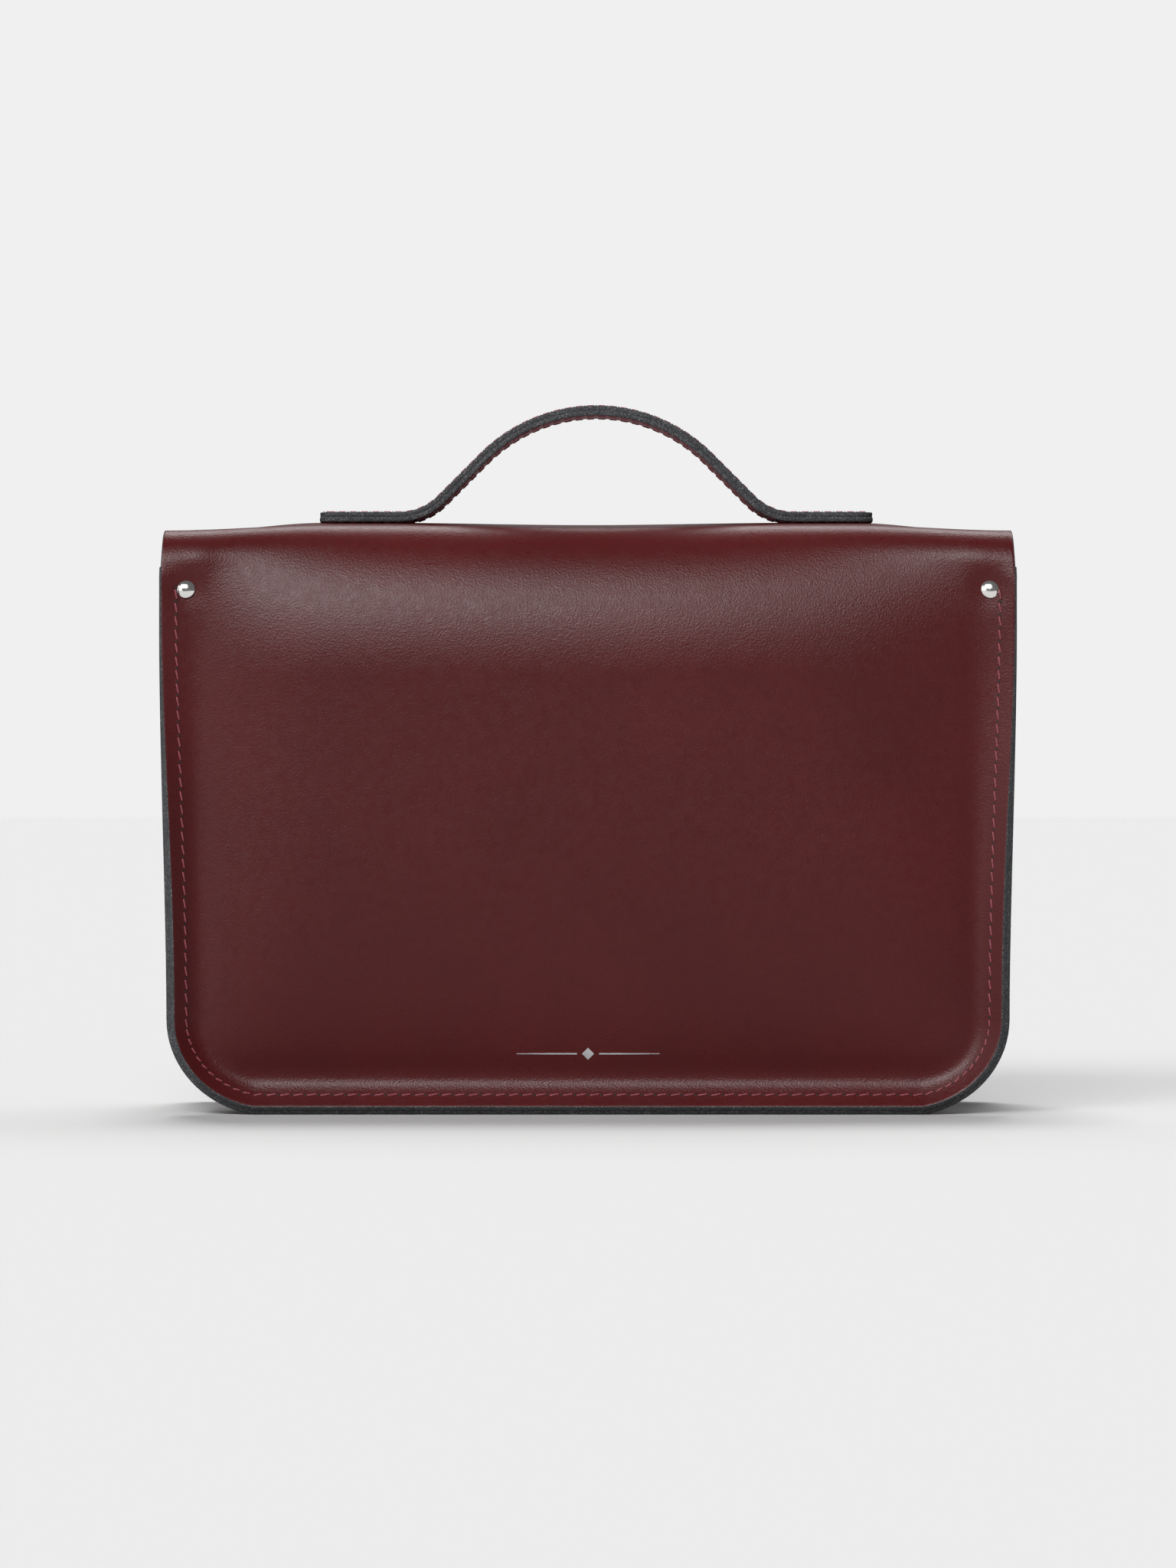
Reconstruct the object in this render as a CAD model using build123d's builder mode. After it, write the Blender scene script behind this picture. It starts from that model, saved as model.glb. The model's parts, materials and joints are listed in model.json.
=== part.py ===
from build123d import *
from math import asin, cos, degrees, radians, sin, tan
import os

# Rigid leather satchel with a top handle. Millimetres.
# X runs across the width, the flap and buckles face -Y, the plain back faces +Y, +Z is up.
# The origin is on the ground, at the middle of the bag's footprint, buckles included. "Out" means away
# from the bag, along -Y at the front.

# ---------------------------------------------------------------- driving sizes
# Body
body_width = 325.0            # over the cut edges of the seams
body_height = 224.0           # ground to the top of the flap
body_depth = 90.0             # seam to seam, over the outer leather faces
seam_middle = 6.5             # middle of the seams, behind the origin, as the buckles stand out in front
corner_radius = 36.0          # bottom corners, at the cut edge
leather = 2.5                 # body leather thickness
seam_flange = 13.0            # from the cut edge to the gusset wall
gusset_drop = 2.0             # gusset's top edge below the creases
front_panel_drop = 5.0        # front panel's top edge below the creases

# Bulge of the two stitched outer panels
back_crown = 7.0
pocket_crown = 6.0
back_crown_slope = 40.0       # how far inwards the back panel takes to reach its full bulge
pocket_crown_slope = 12.0
crown_margin = 3.0            # flat leather between the gusset wall line and the bulge
pocket_top = 140.0

# Flap
flap_side_margin = 1.5        # flap's side edge inside the seam's cut edge
flap_bottom = 88.0
flap_corner_radius = 30.0
fold_radius = 15.0            # outside radius of both creases
flap_gap = 1.5                # flap's inner face to the pocket

# Handle
handle_length = 213.0
handle_width = 22.0
handle_layer = 2.0            # each of the two layers
handle_rise = 41.0            # crown above the pads
handle_foot = 67.3            # centre to where each leg would meet the pads
handle_slope = 45.0           # steepest angle of the legs, in degrees
handle_foot_radius = 21.0
handle_end_radius = 6.0

# Rivets
rivet_cap_radius = 3.5
rivet_cap_height = 1.6
rivet_shank_radius = 1.5
rivet_washer_radius = 2.8
rivet_washer_height = 0.7
rivet_to_wall = 0.2           # corner rivet's washer to the gusset wall
corner_rivet_drop = 8.0       # below the gusset's top edge

# Closure straps
strap_spacing = 176.0
strap_width = 20.0
strap_leather = 3.0
strap_top_drop = 9.0          # strap's top end below the crease
strap_tail = 44.0             # strap's free end below the heel bar
strap_over_loop = 0.2         # strap to the fold of the buckle tab
strap_step_height = 18.0      # height over which the strap steps out to pass over the tab
strap_bend_radius = 30.0
strap_rivet_inset = 9.0
strap_hole_radius = 1.6
strap_hole_spacing = 10.0
strap_hole_count = 2

# Buckles
heel_drop = 22.0              # heel bar below the flap's edge
heel_bar_radius = 1.25
frame_length = 18.0           # heel bar axis to far bar axis
frame_bar = 2.8
frame_thickness = 2.5
frame_play = 1.0              # frame to strap, each side
prong_width = 2.4
prong_thickness = 1.8
prong_overhang = 1.6          # past the far bar
hinge_clearance = 0.06        # radial, at the heel bar
rest_clearance = 0.3          # between pieces that only lie against each other

# Buckle tabs, keepers and magnets
tab_leather = 1.6
tab_length = 40.0             # below the heel bar
keeper_leather = 1.5
keeper_height = 8.0
keeper_drop = 14.0            # keeper's middle below the heel bar
magnet_radius = 6.5
magnet_height = 1.2
plate_height = 1.4
magnet_drop = 29.0            # below the heel bar

# D-rings
ring_wire_radius = 1.5
ring_inner_width = 20.0
ring_inner_depth = 14.0
ring_corner_radius = 2.3      # wire bend beside the straight bar
ring_bow_radius = 9.5         # wire bend of the round side
ring_drop = 15.0              # ring's straight bar below the gusset's top edge
ring_tab_play = 1.0           # tab to the ring's legs, each side
ring_tab_length = 32.0
ring_tab_leather = 1.6
ring_tab_rivet_spacing = 14.0

# ---------------------------------------------------------------- derived places
back_face = seam_middle + body_depth / 2
front_face = seam_middle - body_depth / 2
wall_half_width = body_width / 2 - seam_flange
pocket_face = front_face - pocket_crown
flap_face = pocket_face - flap_gap - leather
fold_height = body_height - fold_radius
gusset_top = fold_height - gusset_drop
front_panel_top = fold_height - front_panel_drop
flap_width = body_width - 2 * flap_side_margin
rear_fold_y = back_face - fold_radius
front_fold_y = flap_face + fold_radius
flap_middle_y = (rear_fold_y + front_fold_y) / 2

plate_face = pocket_face - plate_height
magnet_back = plate_face - rest_clearance
tab_back = magnet_back - magnet_height
heel_y = tab_back - tab_leather
loop_bore_radius = heel_bar_radius + hinge_clearance
loop_radius = loop_bore_radius + tab_leather
strap_back = heel_y - loop_radius - strap_over_loop
strap_front = strap_back - strap_leather
strap_step = flap_face - strap_back
strap_top = fold_height - strap_top_drop
heel_height = flap_bottom - heel_drop
strap_tip = heel_height - strap_tail
tab_bottom = heel_height - tab_length
keeper_middle = heel_height - keeper_drop
magnet_middle = heel_height - magnet_drop
strap_sides = (("left", -strap_spacing / 2), ("right", strap_spacing / 2))
body_sides = (("left", -1), ("right", 1))

ring_loop_bore = ring_wire_radius + hinge_clearance
ring_loop_radius = ring_loop_bore + ring_tab_leather
ring_axis_x = wall_half_width + ring_loop_radius
ring_axis_height = gusset_top - ring_drop
ring_tab_width = ring_inner_width - 2 * ring_tab_play
ring_tab_bottom = ring_axis_height - ring_tab_length

os.makedirs("parts", exist_ok=True)


def save(piece, label):
    """Label a finished piece and write it to its own file."""
    piece.part.label = label
    export_step(piece.part, f"parts/{label}.step")


# ---------------------------------------------------------------- shared shapes
def upright(y):
    """An upright plane across the bag, seen from the front."""
    return Plane.XZ.offset(-y)


def seam_outline(y, inset, top, corner=None):
    """The bag's outline on an upright plane, drawn in from its cut edge, with round bottom corners."""
    half = body_width / 2 - inset
    corner = corner or corner_radius - inset
    with BuildSketch(upright(y)) as outline:
        with Locations((0, (inset + top) / 2)):
            Rectangle(2 * half, top - inset)
        fillet(outline.vertices().group_by(Axis.Y)[0], corner)
    return outline.sketch


def crown(face_y, out, height, slope, top):
    """A shallow raised field that stands out from an upright face and narrows as it rises."""
    start = seam_flange + crown_margin
    base = seam_outline(face_y, start, top - crown_margin)
    peak = seam_outline(face_y + out * height, start + slope, top - crown_margin - slope, corner_radius)
    with BuildPart() as field:
        loft([base, peak])
    return field.part


def one_rivet(grip):
    """A rivet round the Z axis: domed cap above Z 0, shank through the leather, washer under it."""
    with BuildPart() as rivet:
        Cylinder(rivet_cap_radius, rivet_cap_height, align=(Align.CENTER, Align.CENTER, Align.MIN))
        fillet(rivet.edges().group_by(Axis.Z)[-1], rivet_cap_height * 0.8)
        Cylinder(rivet_shank_radius, grip, align=(Align.CENTER, Align.CENTER, Align.MAX))
        with Locations((0, 0, -grip)):
            Cylinder(
                rivet_washer_radius,
                rivet_washer_height,
                align=(Align.CENTER, Align.CENTER, Align.MAX),
            )
    return rivet.part


def rivet_set(planes, grip, label):
    """Write one node of identical rivets, a rivet on each plane, its cap on the plane's upper side."""
    with BuildPart() as rivets:
        with Locations(*planes):
            add(one_rivet(grip))
    save(rivets, label)


def shank_holes(planes, grip):
    """The holes that a set of rivets passes through."""
    with BuildPart() as holes:
        with Locations(*planes):
            Cylinder(rivet_shank_radius, grip, align=(Align.CENTER, Align.CENTER, Align.MAX))
    return holes.part


# ---------------------------------------------------------------- rivet places
corner_rivet_x = wall_half_width + rivet_washer_radius + rivet_to_wall
corner_rivet_height = gusset_top - corner_rivet_drop
back_rivet_planes = [
    Plane((side * corner_rivet_x, back_face, corner_rivet_height), x_dir=(1, 0, 0), z_dir=(0, 1, 0))
    for _, side in body_sides
]
front_wall_face = front_face + leather
front_rivet_planes = [
    Plane((side * corner_rivet_x, front_wall_face, corner_rivet_height), x_dir=(1, 0, 0), z_dir=(0, -1, 0))
    for _, side in body_sides
]
strap_rivet_planes = [
    Plane((x, flap_face - strap_leather, z), x_dir=(1, 0, 0), z_dir=(0, -1, 0))
    for _, x in strap_sides
    for z in (flap_bottom + strap_rivet_inset, strap_top - strap_rivet_inset)
]
ring_rivet_x = wall_half_width + 2 * ring_tab_leather
ring_tab_middle = (ring_tab_bottom + ring_axis_height - ring_loop_radius) / 2
ring_rivet_heights = (
    ring_tab_middle - ring_tab_rivet_spacing / 2,
    ring_tab_middle + ring_tab_rivet_spacing / 2,
)
ring_rivet_planes = [
    Plane((side * ring_rivet_x, seam_middle, z), x_dir=(0, 1, 0), z_dir=(side, 0, 0))
    for _, side in body_sides
    for z in ring_rivet_heights
]

# ---------------------------------------------------------------- back panel, bulging inside its seam
with BuildPart() as back_panel:
    extrude(seam_outline(back_face, 0, fold_height), amount=leather)
    add(crown(back_face, 1, back_crown, back_crown_slope, fold_height))
    add(crown(back_face - leather, 1, back_crown, back_crown_slope, fold_height), mode=Mode.SUBTRACT)
    add(shank_holes(back_rivet_planes, leather), mode=Mode.SUBTRACT)
save(back_panel, "back_panel")

# ---------------------------------------------------------------- gusset: a channel bent into a U
gusset_depth = body_depth - 3 * leather
with BuildPart() as gusset:
    extrude(seam_outline(back_face - leather, 0, gusset_top), amount=gusset_depth)
    extrude(
        seam_outline(back_face - 2 * leather, -leather, gusset_top + leather)
        - seam_outline(back_face - 2 * leather, seam_flange, gusset_top + leather),
        amount=gusset_depth - 2 * leather,
        mode=Mode.SUBTRACT,
    )
    extrude(
        seam_outline(back_face, seam_flange + leather, gusset_top + leather),
        amount=body_depth,
        mode=Mode.SUBTRACT,
    )
    add(shank_holes(back_rivet_planes, 2 * leather), mode=Mode.SUBTRACT)
    add(shank_holes(front_rivet_planes, 2 * leather), mode=Mode.SUBTRACT)
    add(shank_holes(ring_rivet_planes, 2 * ring_tab_leather + leather), mode=Mode.SUBTRACT)
save(gusset, "gusset")

# ---------------------------------------------------------------- front panel and slip pocket
with BuildPart() as front_panel:
    extrude(seam_outline(front_face + 2 * leather, 0, front_panel_top), amount=leather)
    add(shank_holes(front_rivet_planes, leather), mode=Mode.SUBTRACT)
save(front_panel, "front_panel")

plate_planes = [
    Plane((x, pocket_face, magnet_middle), x_dir=(1, 0, 0), z_dir=(0, -1, 0))
    for _, x in strap_sides
]
pocket_run_out = pocket_crown_slope + 2 * crown_margin
with BuildPart() as pocket_panel:
    extrude(seam_outline(front_face + leather, 0, pocket_top + pocket_run_out), amount=leather)
    add(crown(front_face, -1, pocket_crown, pocket_crown_slope, pocket_top + 2 * pocket_run_out))
    add(
        crown(front_face + leather, -1, pocket_crown, pocket_crown_slope, pocket_top + 2 * pocket_run_out),
        mode=Mode.SUBTRACT,
    )
    add(shank_holes(plate_planes, leather), mode=Mode.SUBTRACT)
    split(bisect_by=Plane.XY.offset(pocket_top), keep=Keep.BOTTOM)
save(pocket_panel, "pocket_panel")

# ---------------------------------------------------------------- flap: top, front, and the two creases
with BuildPart() as flap_top:
    with Locations((0, flap_middle_y, body_height - leather / 2)):
        Box(flap_width, rear_fold_y - front_fold_y, leather)
save(flap_top, "flap_top")

with BuildPart() as flap_front:
    with BuildSketch(upright(flap_face + leather)) as drop:
        with Locations((0, (flap_bottom + fold_height) / 2)):
            Rectangle(flap_width, fold_height - flap_bottom)
        fillet(drop.vertices().group_by(Axis.Y)[0], flap_corner_radius)
    extrude(amount=leather)
    add(shank_holes(strap_rivet_planes, strap_leather + leather), mode=Mode.SUBTRACT)
save(flap_front, "flap_front")


def crease(middle_y, direction):
    """A quarter turn of leather between an upright panel and the flap's top."""
    with BuildPart() as bend:
        with BuildSketch(Plane.YZ.offset(-flap_width / 2)):
            with Locations((middle_y, fold_height)):
                Circle(fold_radius)
                Circle(fold_radius - leather, mode=Mode.SUBTRACT)
                Rectangle(
                    fold_radius,
                    fold_radius,
                    align=(Align.MIN if direction > 0 else Align.MAX, Align.MIN),
                    mode=Mode.INTERSECT,
                )
        extrude(amount=flap_width)
    return bend


save(crease(rear_fold_y, 1), "flap_rear_fold")
save(crease(front_fold_y, -1), "flap_front_fold")


# ---------------------------------------------------------------- handle: two layers with an arched grip
def handle_strip(depth, thickness):
    """One layer of the handle, its upper face lying the given depth below the handle's upper face."""
    half_slope = radians(handle_slope / 2)
    apex = handle_foot * tan(radians(handle_slope))
    crown_radius = (apex - handle_rise) / (1 / cos(radians(handle_slope)) - 1)
    pad_top = body_height + 2 * handle_layer

    def edge(down):
        foot = handle_foot - down * tan(half_slope)
        peak = apex - down / cos(radians(handle_slope))
        return FilletPolyline(
            (-handle_length / 2, pad_top - down),
            (-foot, pad_top - down),
            (0, pad_top + peak),
            (foot, pad_top - down),
            (handle_length / 2, pad_top - down),
            radius=[handle_foot_radius + down, crown_radius - down, handle_foot_radius + down],
        )

    with BuildPart() as strip:
        with BuildSketch(upright(flap_middle_y)):
            with BuildLine():
                upper = edge(depth)
                lower = edge(depth + thickness)
                Line(upper @ 0, lower @ 0)
                Line(upper @ 1, lower @ 1)
            make_face()
        extrude(amount=handle_width / 2, both=True)
        ends = strip.edges().filter_by(Axis.Z)
        fillet(ends, handle_end_radius)
    return strip


save(handle_strip(0, handle_layer), "handle_outer")
save(handle_strip(handle_layer, handle_layer), "handle_lining")

# ---------------------------------------------------------------- rivets
rivet_set(back_rivet_planes, 2 * leather, "back_corner_rivets")
rivet_set(front_rivet_planes, 2 * leather, "front_corner_rivets")
rivet_set(strap_rivet_planes, strap_leather + leather, "strap_rivets")
rivet_set(ring_rivet_planes, 2 * ring_tab_leather + leather, "ring_tab_rivets")


# ---------------------------------------------------------------- closure straps
def strap_out(z):
    """How far the strap has stepped out at a height below the flap's edge."""
    return strap_step * min(max((flap_bottom - z) / strap_step_height, 0), 1)


def strap_edge(face_y):
    """Side view of one face of the strap: flat on the flap, then a gentle step out over the tab."""
    return FilletPolyline(
        (face_y, strap_top),
        (face_y, flap_bottom),
        (face_y - strap_step, flap_bottom - strap_step_height),
        (face_y - strap_step, strap_tip),
        radius=strap_bend_radius,
    )


for side, x in strap_sides:
    with BuildPart() as closure_strap:
        with BuildSketch(Plane.YZ.offset(x)):
            with BuildLine():
                rear = strap_edge(flap_face)
                front = strap_edge(flap_face - strap_leather)
                Line(rear @ 0, front @ 0)
                Line(rear @ 1, front @ 1)
            make_face()
        extrude(amount=strap_width / 2, both=True)
        bottom_corners = closure_strap.edges().filter_by(Axis.Y).group_by(Axis.Z)[0]
        fillet(bottom_corners, strap_width * 0.45)
        top_corners = closure_strap.edges().filter_by(Axis.Y).group_by(Axis.Z)[-1]
        fillet(top_corners, strap_width * 0.25)
        # the prong's slot, as long as the window of the buckle
        with BuildSketch(upright(strap_back)):
            with Locations((x, heel_height + (frame_length - frame_bar) / 2)):
                SlotOverall(frame_length - frame_bar, prong_width + 2 * rest_clearance, rotation=90)
        extrude(amount=2 * strap_step + strap_leather, both=True, mode=Mode.SUBTRACT)
        # spare holes on the free end
        with BuildSketch(upright(strap_back)):
            with Locations((x, (strap_tip + tab_bottom) / 2 + strap_hole_spacing)):
                with GridLocations(1, strap_hole_spacing, 1, strap_hole_count):
                    Circle(strap_hole_radius)
        extrude(amount=2 * strap_leather, both=True, mode=Mode.SUBTRACT)
        add(shank_holes(strap_rivet_planes, strap_leather), mode=Mode.SUBTRACT)
    save(closure_strap, f"closure_strap_{side}")

# ---------------------------------------------------------------- buckle frames and prongs
# The far bar lies in front of the strap, and the prong's tip in front of the far bar.
far_bar_reach = frame_length - frame_bar / 2
strap_at_far_bar = heel_y - flap_face + strap_leather + strap_out(heel_height + far_bar_reach - frame_bar)
frame_tilt = degrees(asin((strap_at_far_bar + rest_clearance + frame_thickness / 2) / frame_length))
prong_lift = degrees(asin((frame_thickness + prong_thickness + rest_clearance) / 2 / far_bar_reach))
frame_half_width = strap_width / 2 + frame_play


def leaning_plane(x, tilt):
    """Plane through the heel bar that leans out by the tilt: local Y runs up it, local Z outwards."""
    lean = radians(tilt)
    return Plane((x, heel_y, heel_height), x_dir=(1, 0, 0), z_dir=(0, -cos(lean), -sin(lean)))


for side, x in strap_sides:
    frame_plane = leaning_plane(x, frame_tilt)
    with BuildPart() as buckle_frame:
        with BuildSketch(frame_plane):
            with Locations((0, frame_length / 2)):
                RectangleRounded(
                    2 * (frame_half_width + frame_bar),
                    frame_length + frame_bar,
                    frame_bar,
                )
            with Locations((0, frame_length - frame_bar / 2)):
                Rectangle(
                    2 * frame_half_width,
                    frame_length + frame_bar,
                    align=(Align.CENTER, Align.MAX),
                    mode=Mode.SUBTRACT,
                )
        extrude(amount=frame_thickness / 2, both=True)
        fillet(buckle_frame.edges().group_by(SortBy.LENGTH)[-1], frame_thickness * 0.3)
        with Locations(Location(frame_plane)):
            Cylinder(heel_bar_radius, 2 * frame_half_width + frame_bar, rotation=(0, 90, 0))
    save(buckle_frame, f"buckle_frame_{side}")

    prong_tilt = radians(frame_tilt + prong_lift)
    prong_plane = Plane(
        (x, heel_y, heel_height),
        x_dir=(0, -sin(prong_tilt), cos(prong_tilt)),
        z_dir=(1, 0, 0),
    )
    with BuildPart() as prong:
        with BuildSketch(prong_plane):
            Circle(loop_bore_radius + prong_thickness)
            Rectangle(
                frame_length + frame_thickness / 2 + prong_overhang,
                prong_thickness,
                align=(Align.MIN, Align.CENTER),
            )
            Circle(loop_bore_radius, mode=Mode.SUBTRACT)
        extrude(amount=prong_width / 2, both=True)
    save(prong, f"buckle_prong_{side}")

# ---------------------------------------------------------------- buckle tabs, keepers and magnets
tab_slot_width = prong_width + 2 * rest_clearance
for side, x in strap_sides:
    with BuildPart() as buckle_tab:
        with BuildSketch(Plane.YZ.offset(x)):
            with Locations((heel_y, heel_height)):
                Circle(loop_radius)
                Rectangle(2 * tab_leather, heel_height - tab_bottom, align=(Align.CENTER, Align.MAX))
                Circle(loop_bore_radius, mode=Mode.SUBTRACT)
        extrude(amount=strap_width / 2, both=True)
        fillet(buckle_tab.edges().filter_by(Axis.Y).group_by(Axis.Z)[0], strap_width * 0.3)
        # the prong's collar turns in a slot across the fold
        with Locations((x, heel_y, heel_height)):
            Box(tab_slot_width, 3 * loop_radius, 2 * (loop_radius + prong_thickness), mode=Mode.SUBTRACT)
    save(buckle_tab, f"buckle_tab_{side}")

    with BuildPart() as keeper:
        inner_back = tab_back
        inner_front = strap_front
        with BuildSketch(Plane.XY.offset(keeper_middle - keeper_height / 2)):
            with Locations((x, (inner_back + inner_front) / 2)):
                RectangleRounded(
                    strap_width + 2 * (rest_clearance + keeper_leather),
                    inner_back - inner_front + 2 * keeper_leather,
                    keeper_leather * 1.5,
                )
                Rectangle(
                    strap_width + 2 * rest_clearance,
                    inner_back - inner_front,
                    mode=Mode.SUBTRACT,
                )
        extrude(amount=keeper_height)
    save(keeper, f"keeper_{side}")

    with BuildPart() as magnet:
        with BuildSketch(upright(tab_back)):
            with Locations((x, magnet_middle)):
                Circle(magnet_radius)
        extrude(amount=-magnet_height)
        fillet(magnet.edges().group_by(Axis.Y)[-1], magnet_height * 0.3)
    save(magnet, f"magnet_{side}")

    # the plate is clinched through the pocket leather
    with BuildPart() as magnet_plate:
        with BuildSketch(upright(pocket_face)):
            with Locations((x, magnet_middle)):
                Circle(magnet_radius + 0.5)
        extrude(amount=plate_height)
        fillet(magnet_plate.edges().group_by(Axis.Y)[0], plate_height * 0.3)
        with BuildSketch(upright(pocket_face)):
            with Locations((x, magnet_middle)):
                Circle(rivet_shank_radius)
        extrude(amount=-leather)
        with BuildSketch(upright(pocket_face + leather)):
            with Locations((x, magnet_middle)):
                Circle(magnet_radius - 1)
        extrude(amount=-rivet_washer_height)
    save(magnet_plate, f"magnet_plate_{side}")

# ---------------------------------------------------------------- D-rings on the gusset
# Each ring hangs from its straight bar and leans out just enough to rest on its tab.
ring_lean = degrees(asin((ring_wire_radius + rest_clearance) / ring_inner_depth))
for side, sign in body_sides:
    axis_point = (sign * ring_axis_x, seam_middle, ring_axis_height)
    lean = radians(ring_lean)
    ring_plane = Plane(axis_point, x_dir=(0, 1, 0), z_dir=(sign * cos(lean), 0, sin(lean)))
    # local Y of this plane runs up the ring on the left side and down it on the right
    down = -1 if ring_plane.y_dir.Z > 0 else 1
    half = ring_inner_width / 2 + ring_wire_radius
    bottom = down * (ring_inner_depth + ring_wire_radius)
    with BuildPart() as ring:
        with BuildLine(ring_plane):
            loop = FilletPolyline(
                (-half, 0),
                (half, 0),
                (half, bottom),
                (-half, bottom),
                radius=[ring_corner_radius, ring_corner_radius, ring_bow_radius, ring_bow_radius],
                close=True,
            )
        with BuildSketch(Plane(loop @ 0, z_dir=loop % 0)):
            Circle(ring_wire_radius)
        sweep(path=loop)
    save(ring, f"d_ring_{side}")

    with BuildPart() as ring_tab:
        with BuildSketch(upright(seam_middle)):
            with Locations((sign * ring_axis_x, ring_axis_height)):
                Circle(ring_loop_radius)
            with Locations((sign * wall_half_width, ring_axis_height)):
                Rectangle(
                    2 * ring_tab_leather,
                    ring_axis_height - ring_tab_bottom,
                    align=(Align.MIN if sign > 0 else Align.MAX, Align.MAX),
                )
            with Locations((sign * ring_axis_x, ring_axis_height)):
                Circle(ring_loop_bore, mode=Mode.SUBTRACT)
        extrude(amount=ring_tab_width / 2, both=True)
        fillet(ring_tab.edges().filter_by(Axis.X).group_by(Axis.Z)[0], ring_tab_width * 0.3)
        add(shank_holes(ring_rivet_planes, 2 * ring_tab_leather), mode=Mode.SUBTRACT)
    save(ring_tab, f"d_ring_tab_{side}")
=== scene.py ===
import json
from math import cos, hypot, pi, radians, sin, sqrt, tan

import bpy
import numpy as np
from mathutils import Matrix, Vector


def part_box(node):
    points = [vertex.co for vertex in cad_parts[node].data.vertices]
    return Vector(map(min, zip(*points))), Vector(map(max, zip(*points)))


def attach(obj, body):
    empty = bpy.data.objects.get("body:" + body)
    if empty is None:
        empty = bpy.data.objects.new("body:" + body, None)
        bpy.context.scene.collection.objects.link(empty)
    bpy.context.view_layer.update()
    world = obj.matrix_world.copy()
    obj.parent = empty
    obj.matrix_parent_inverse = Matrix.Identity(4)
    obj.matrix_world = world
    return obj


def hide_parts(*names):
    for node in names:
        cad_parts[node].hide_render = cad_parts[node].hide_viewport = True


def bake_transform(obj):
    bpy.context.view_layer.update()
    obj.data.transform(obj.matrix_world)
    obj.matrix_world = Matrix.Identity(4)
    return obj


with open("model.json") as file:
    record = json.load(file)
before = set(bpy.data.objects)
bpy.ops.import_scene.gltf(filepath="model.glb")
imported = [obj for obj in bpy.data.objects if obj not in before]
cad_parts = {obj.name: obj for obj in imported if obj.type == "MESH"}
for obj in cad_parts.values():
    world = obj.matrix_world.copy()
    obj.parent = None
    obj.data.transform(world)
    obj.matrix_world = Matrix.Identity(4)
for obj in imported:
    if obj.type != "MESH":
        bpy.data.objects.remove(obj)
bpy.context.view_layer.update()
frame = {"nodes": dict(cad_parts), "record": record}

# The looks of a rigid leather satchel. Metres; X across, the flap faces -Y, the plain back faces +Y.
MM = 0.001

# ---- places taken from the frame
LEATHER = 2.5 * MM
FLANGE = 13.0 * MM  # cut edge to gusset wall
CORNER = 36.0 * MM  # outline's bottom corners

GUSSET_LOW, GUSSET_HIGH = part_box("gusset")
FLAP_TOP_LOW, FLAP_TOP_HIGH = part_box("flap_top")
HALF_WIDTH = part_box("back_panel")[1].x
BACK_FACE = GUSSET_HIGH.y + LEATHER
FRONT_FACE = GUSSET_LOW.y - 2 * LEATHER
SEAM_MIDDLE = (BACK_FACE + FRONT_FACE) / 2
GUSSET_TOP = GUSSET_HIGH.z
FRONT_PANEL_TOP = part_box("front_panel")[1].z
POCKET_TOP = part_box("pocket_panel")[1].z
TOP = FLAP_TOP_HIGH.z
FLAP_HALF = FLAP_TOP_HIGH.x
FLAP_MIDDLE = (FLAP_TOP_LOW.y + FLAP_TOP_HIGH.y) / 2
FLAP_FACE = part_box("flap_front")[0].y
FLAP_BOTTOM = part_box("flap_front")[0].z
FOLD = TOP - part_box("flap_rear_fold")[0].z
FOLD_HEIGHT = TOP - FOLD
CORNER_RIVET_X = HALF_WIDTH - 10 * MM
CORNER_RIVET_Z = GUSSET_TOP - 8 * MM

# ---- how the leather sits
BACK_BULGE = 8.5 * MM
BACK_SPREAD = 24.0 * MM  # how quickly the back panel swells from its seam
POCKET_BULGE = 6.0 * MM
POCKET_SPREAD = 9.0 * MM
FLAP_BULGE = 0.7 * MM
FLAP_SPREAD = 30 * MM
REAR_ROUNDING = 28 * MM  # depth of the soft creases in the middle of the flap
FRONT_ROUNDING = 19 * MM
FLAT_EDGE = 11 * MM  # panels stay flat this far from the cut edge
VALLEY = 10.5 * MM  # where the flared edge bends into the panel
BEND = 4.5 * MM  # softness of that bend
SHOULDER = 165.0 * MM  # above this the back leans in towards the crease
TOP_DROOP = 2.2 * MM  # the flap's ends hang this much lower than its middle
TOP_SAG = 0.9 * MM  # the flap's top hangs under the handle
TOP_CROWN = 2.2 * MM  # the handle holds the flap's top up this much between the creases

# ---- stitches
STITCH_INSET = 5.6 * MM  # seam thread from the cut edge, along the leather
STITCH_PITCH = 5.1 * MM
FINE_PITCH = 4.4 * MM  # handle and straps
TAB_PITCH = 3.6 * MM
STRIP_SEAM = 2.6 * MM  # thread from the sides of the handle and the straps
STRIP_END = 4 * MM  # thread from their ends


def ease(low, high, value):
    """Smooth step from 0 at low to 1 at high."""
    t = min(max((value - low) / (high - low), 0.0), 1.0)
    return t * t * (3 - 2 * t)


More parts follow.
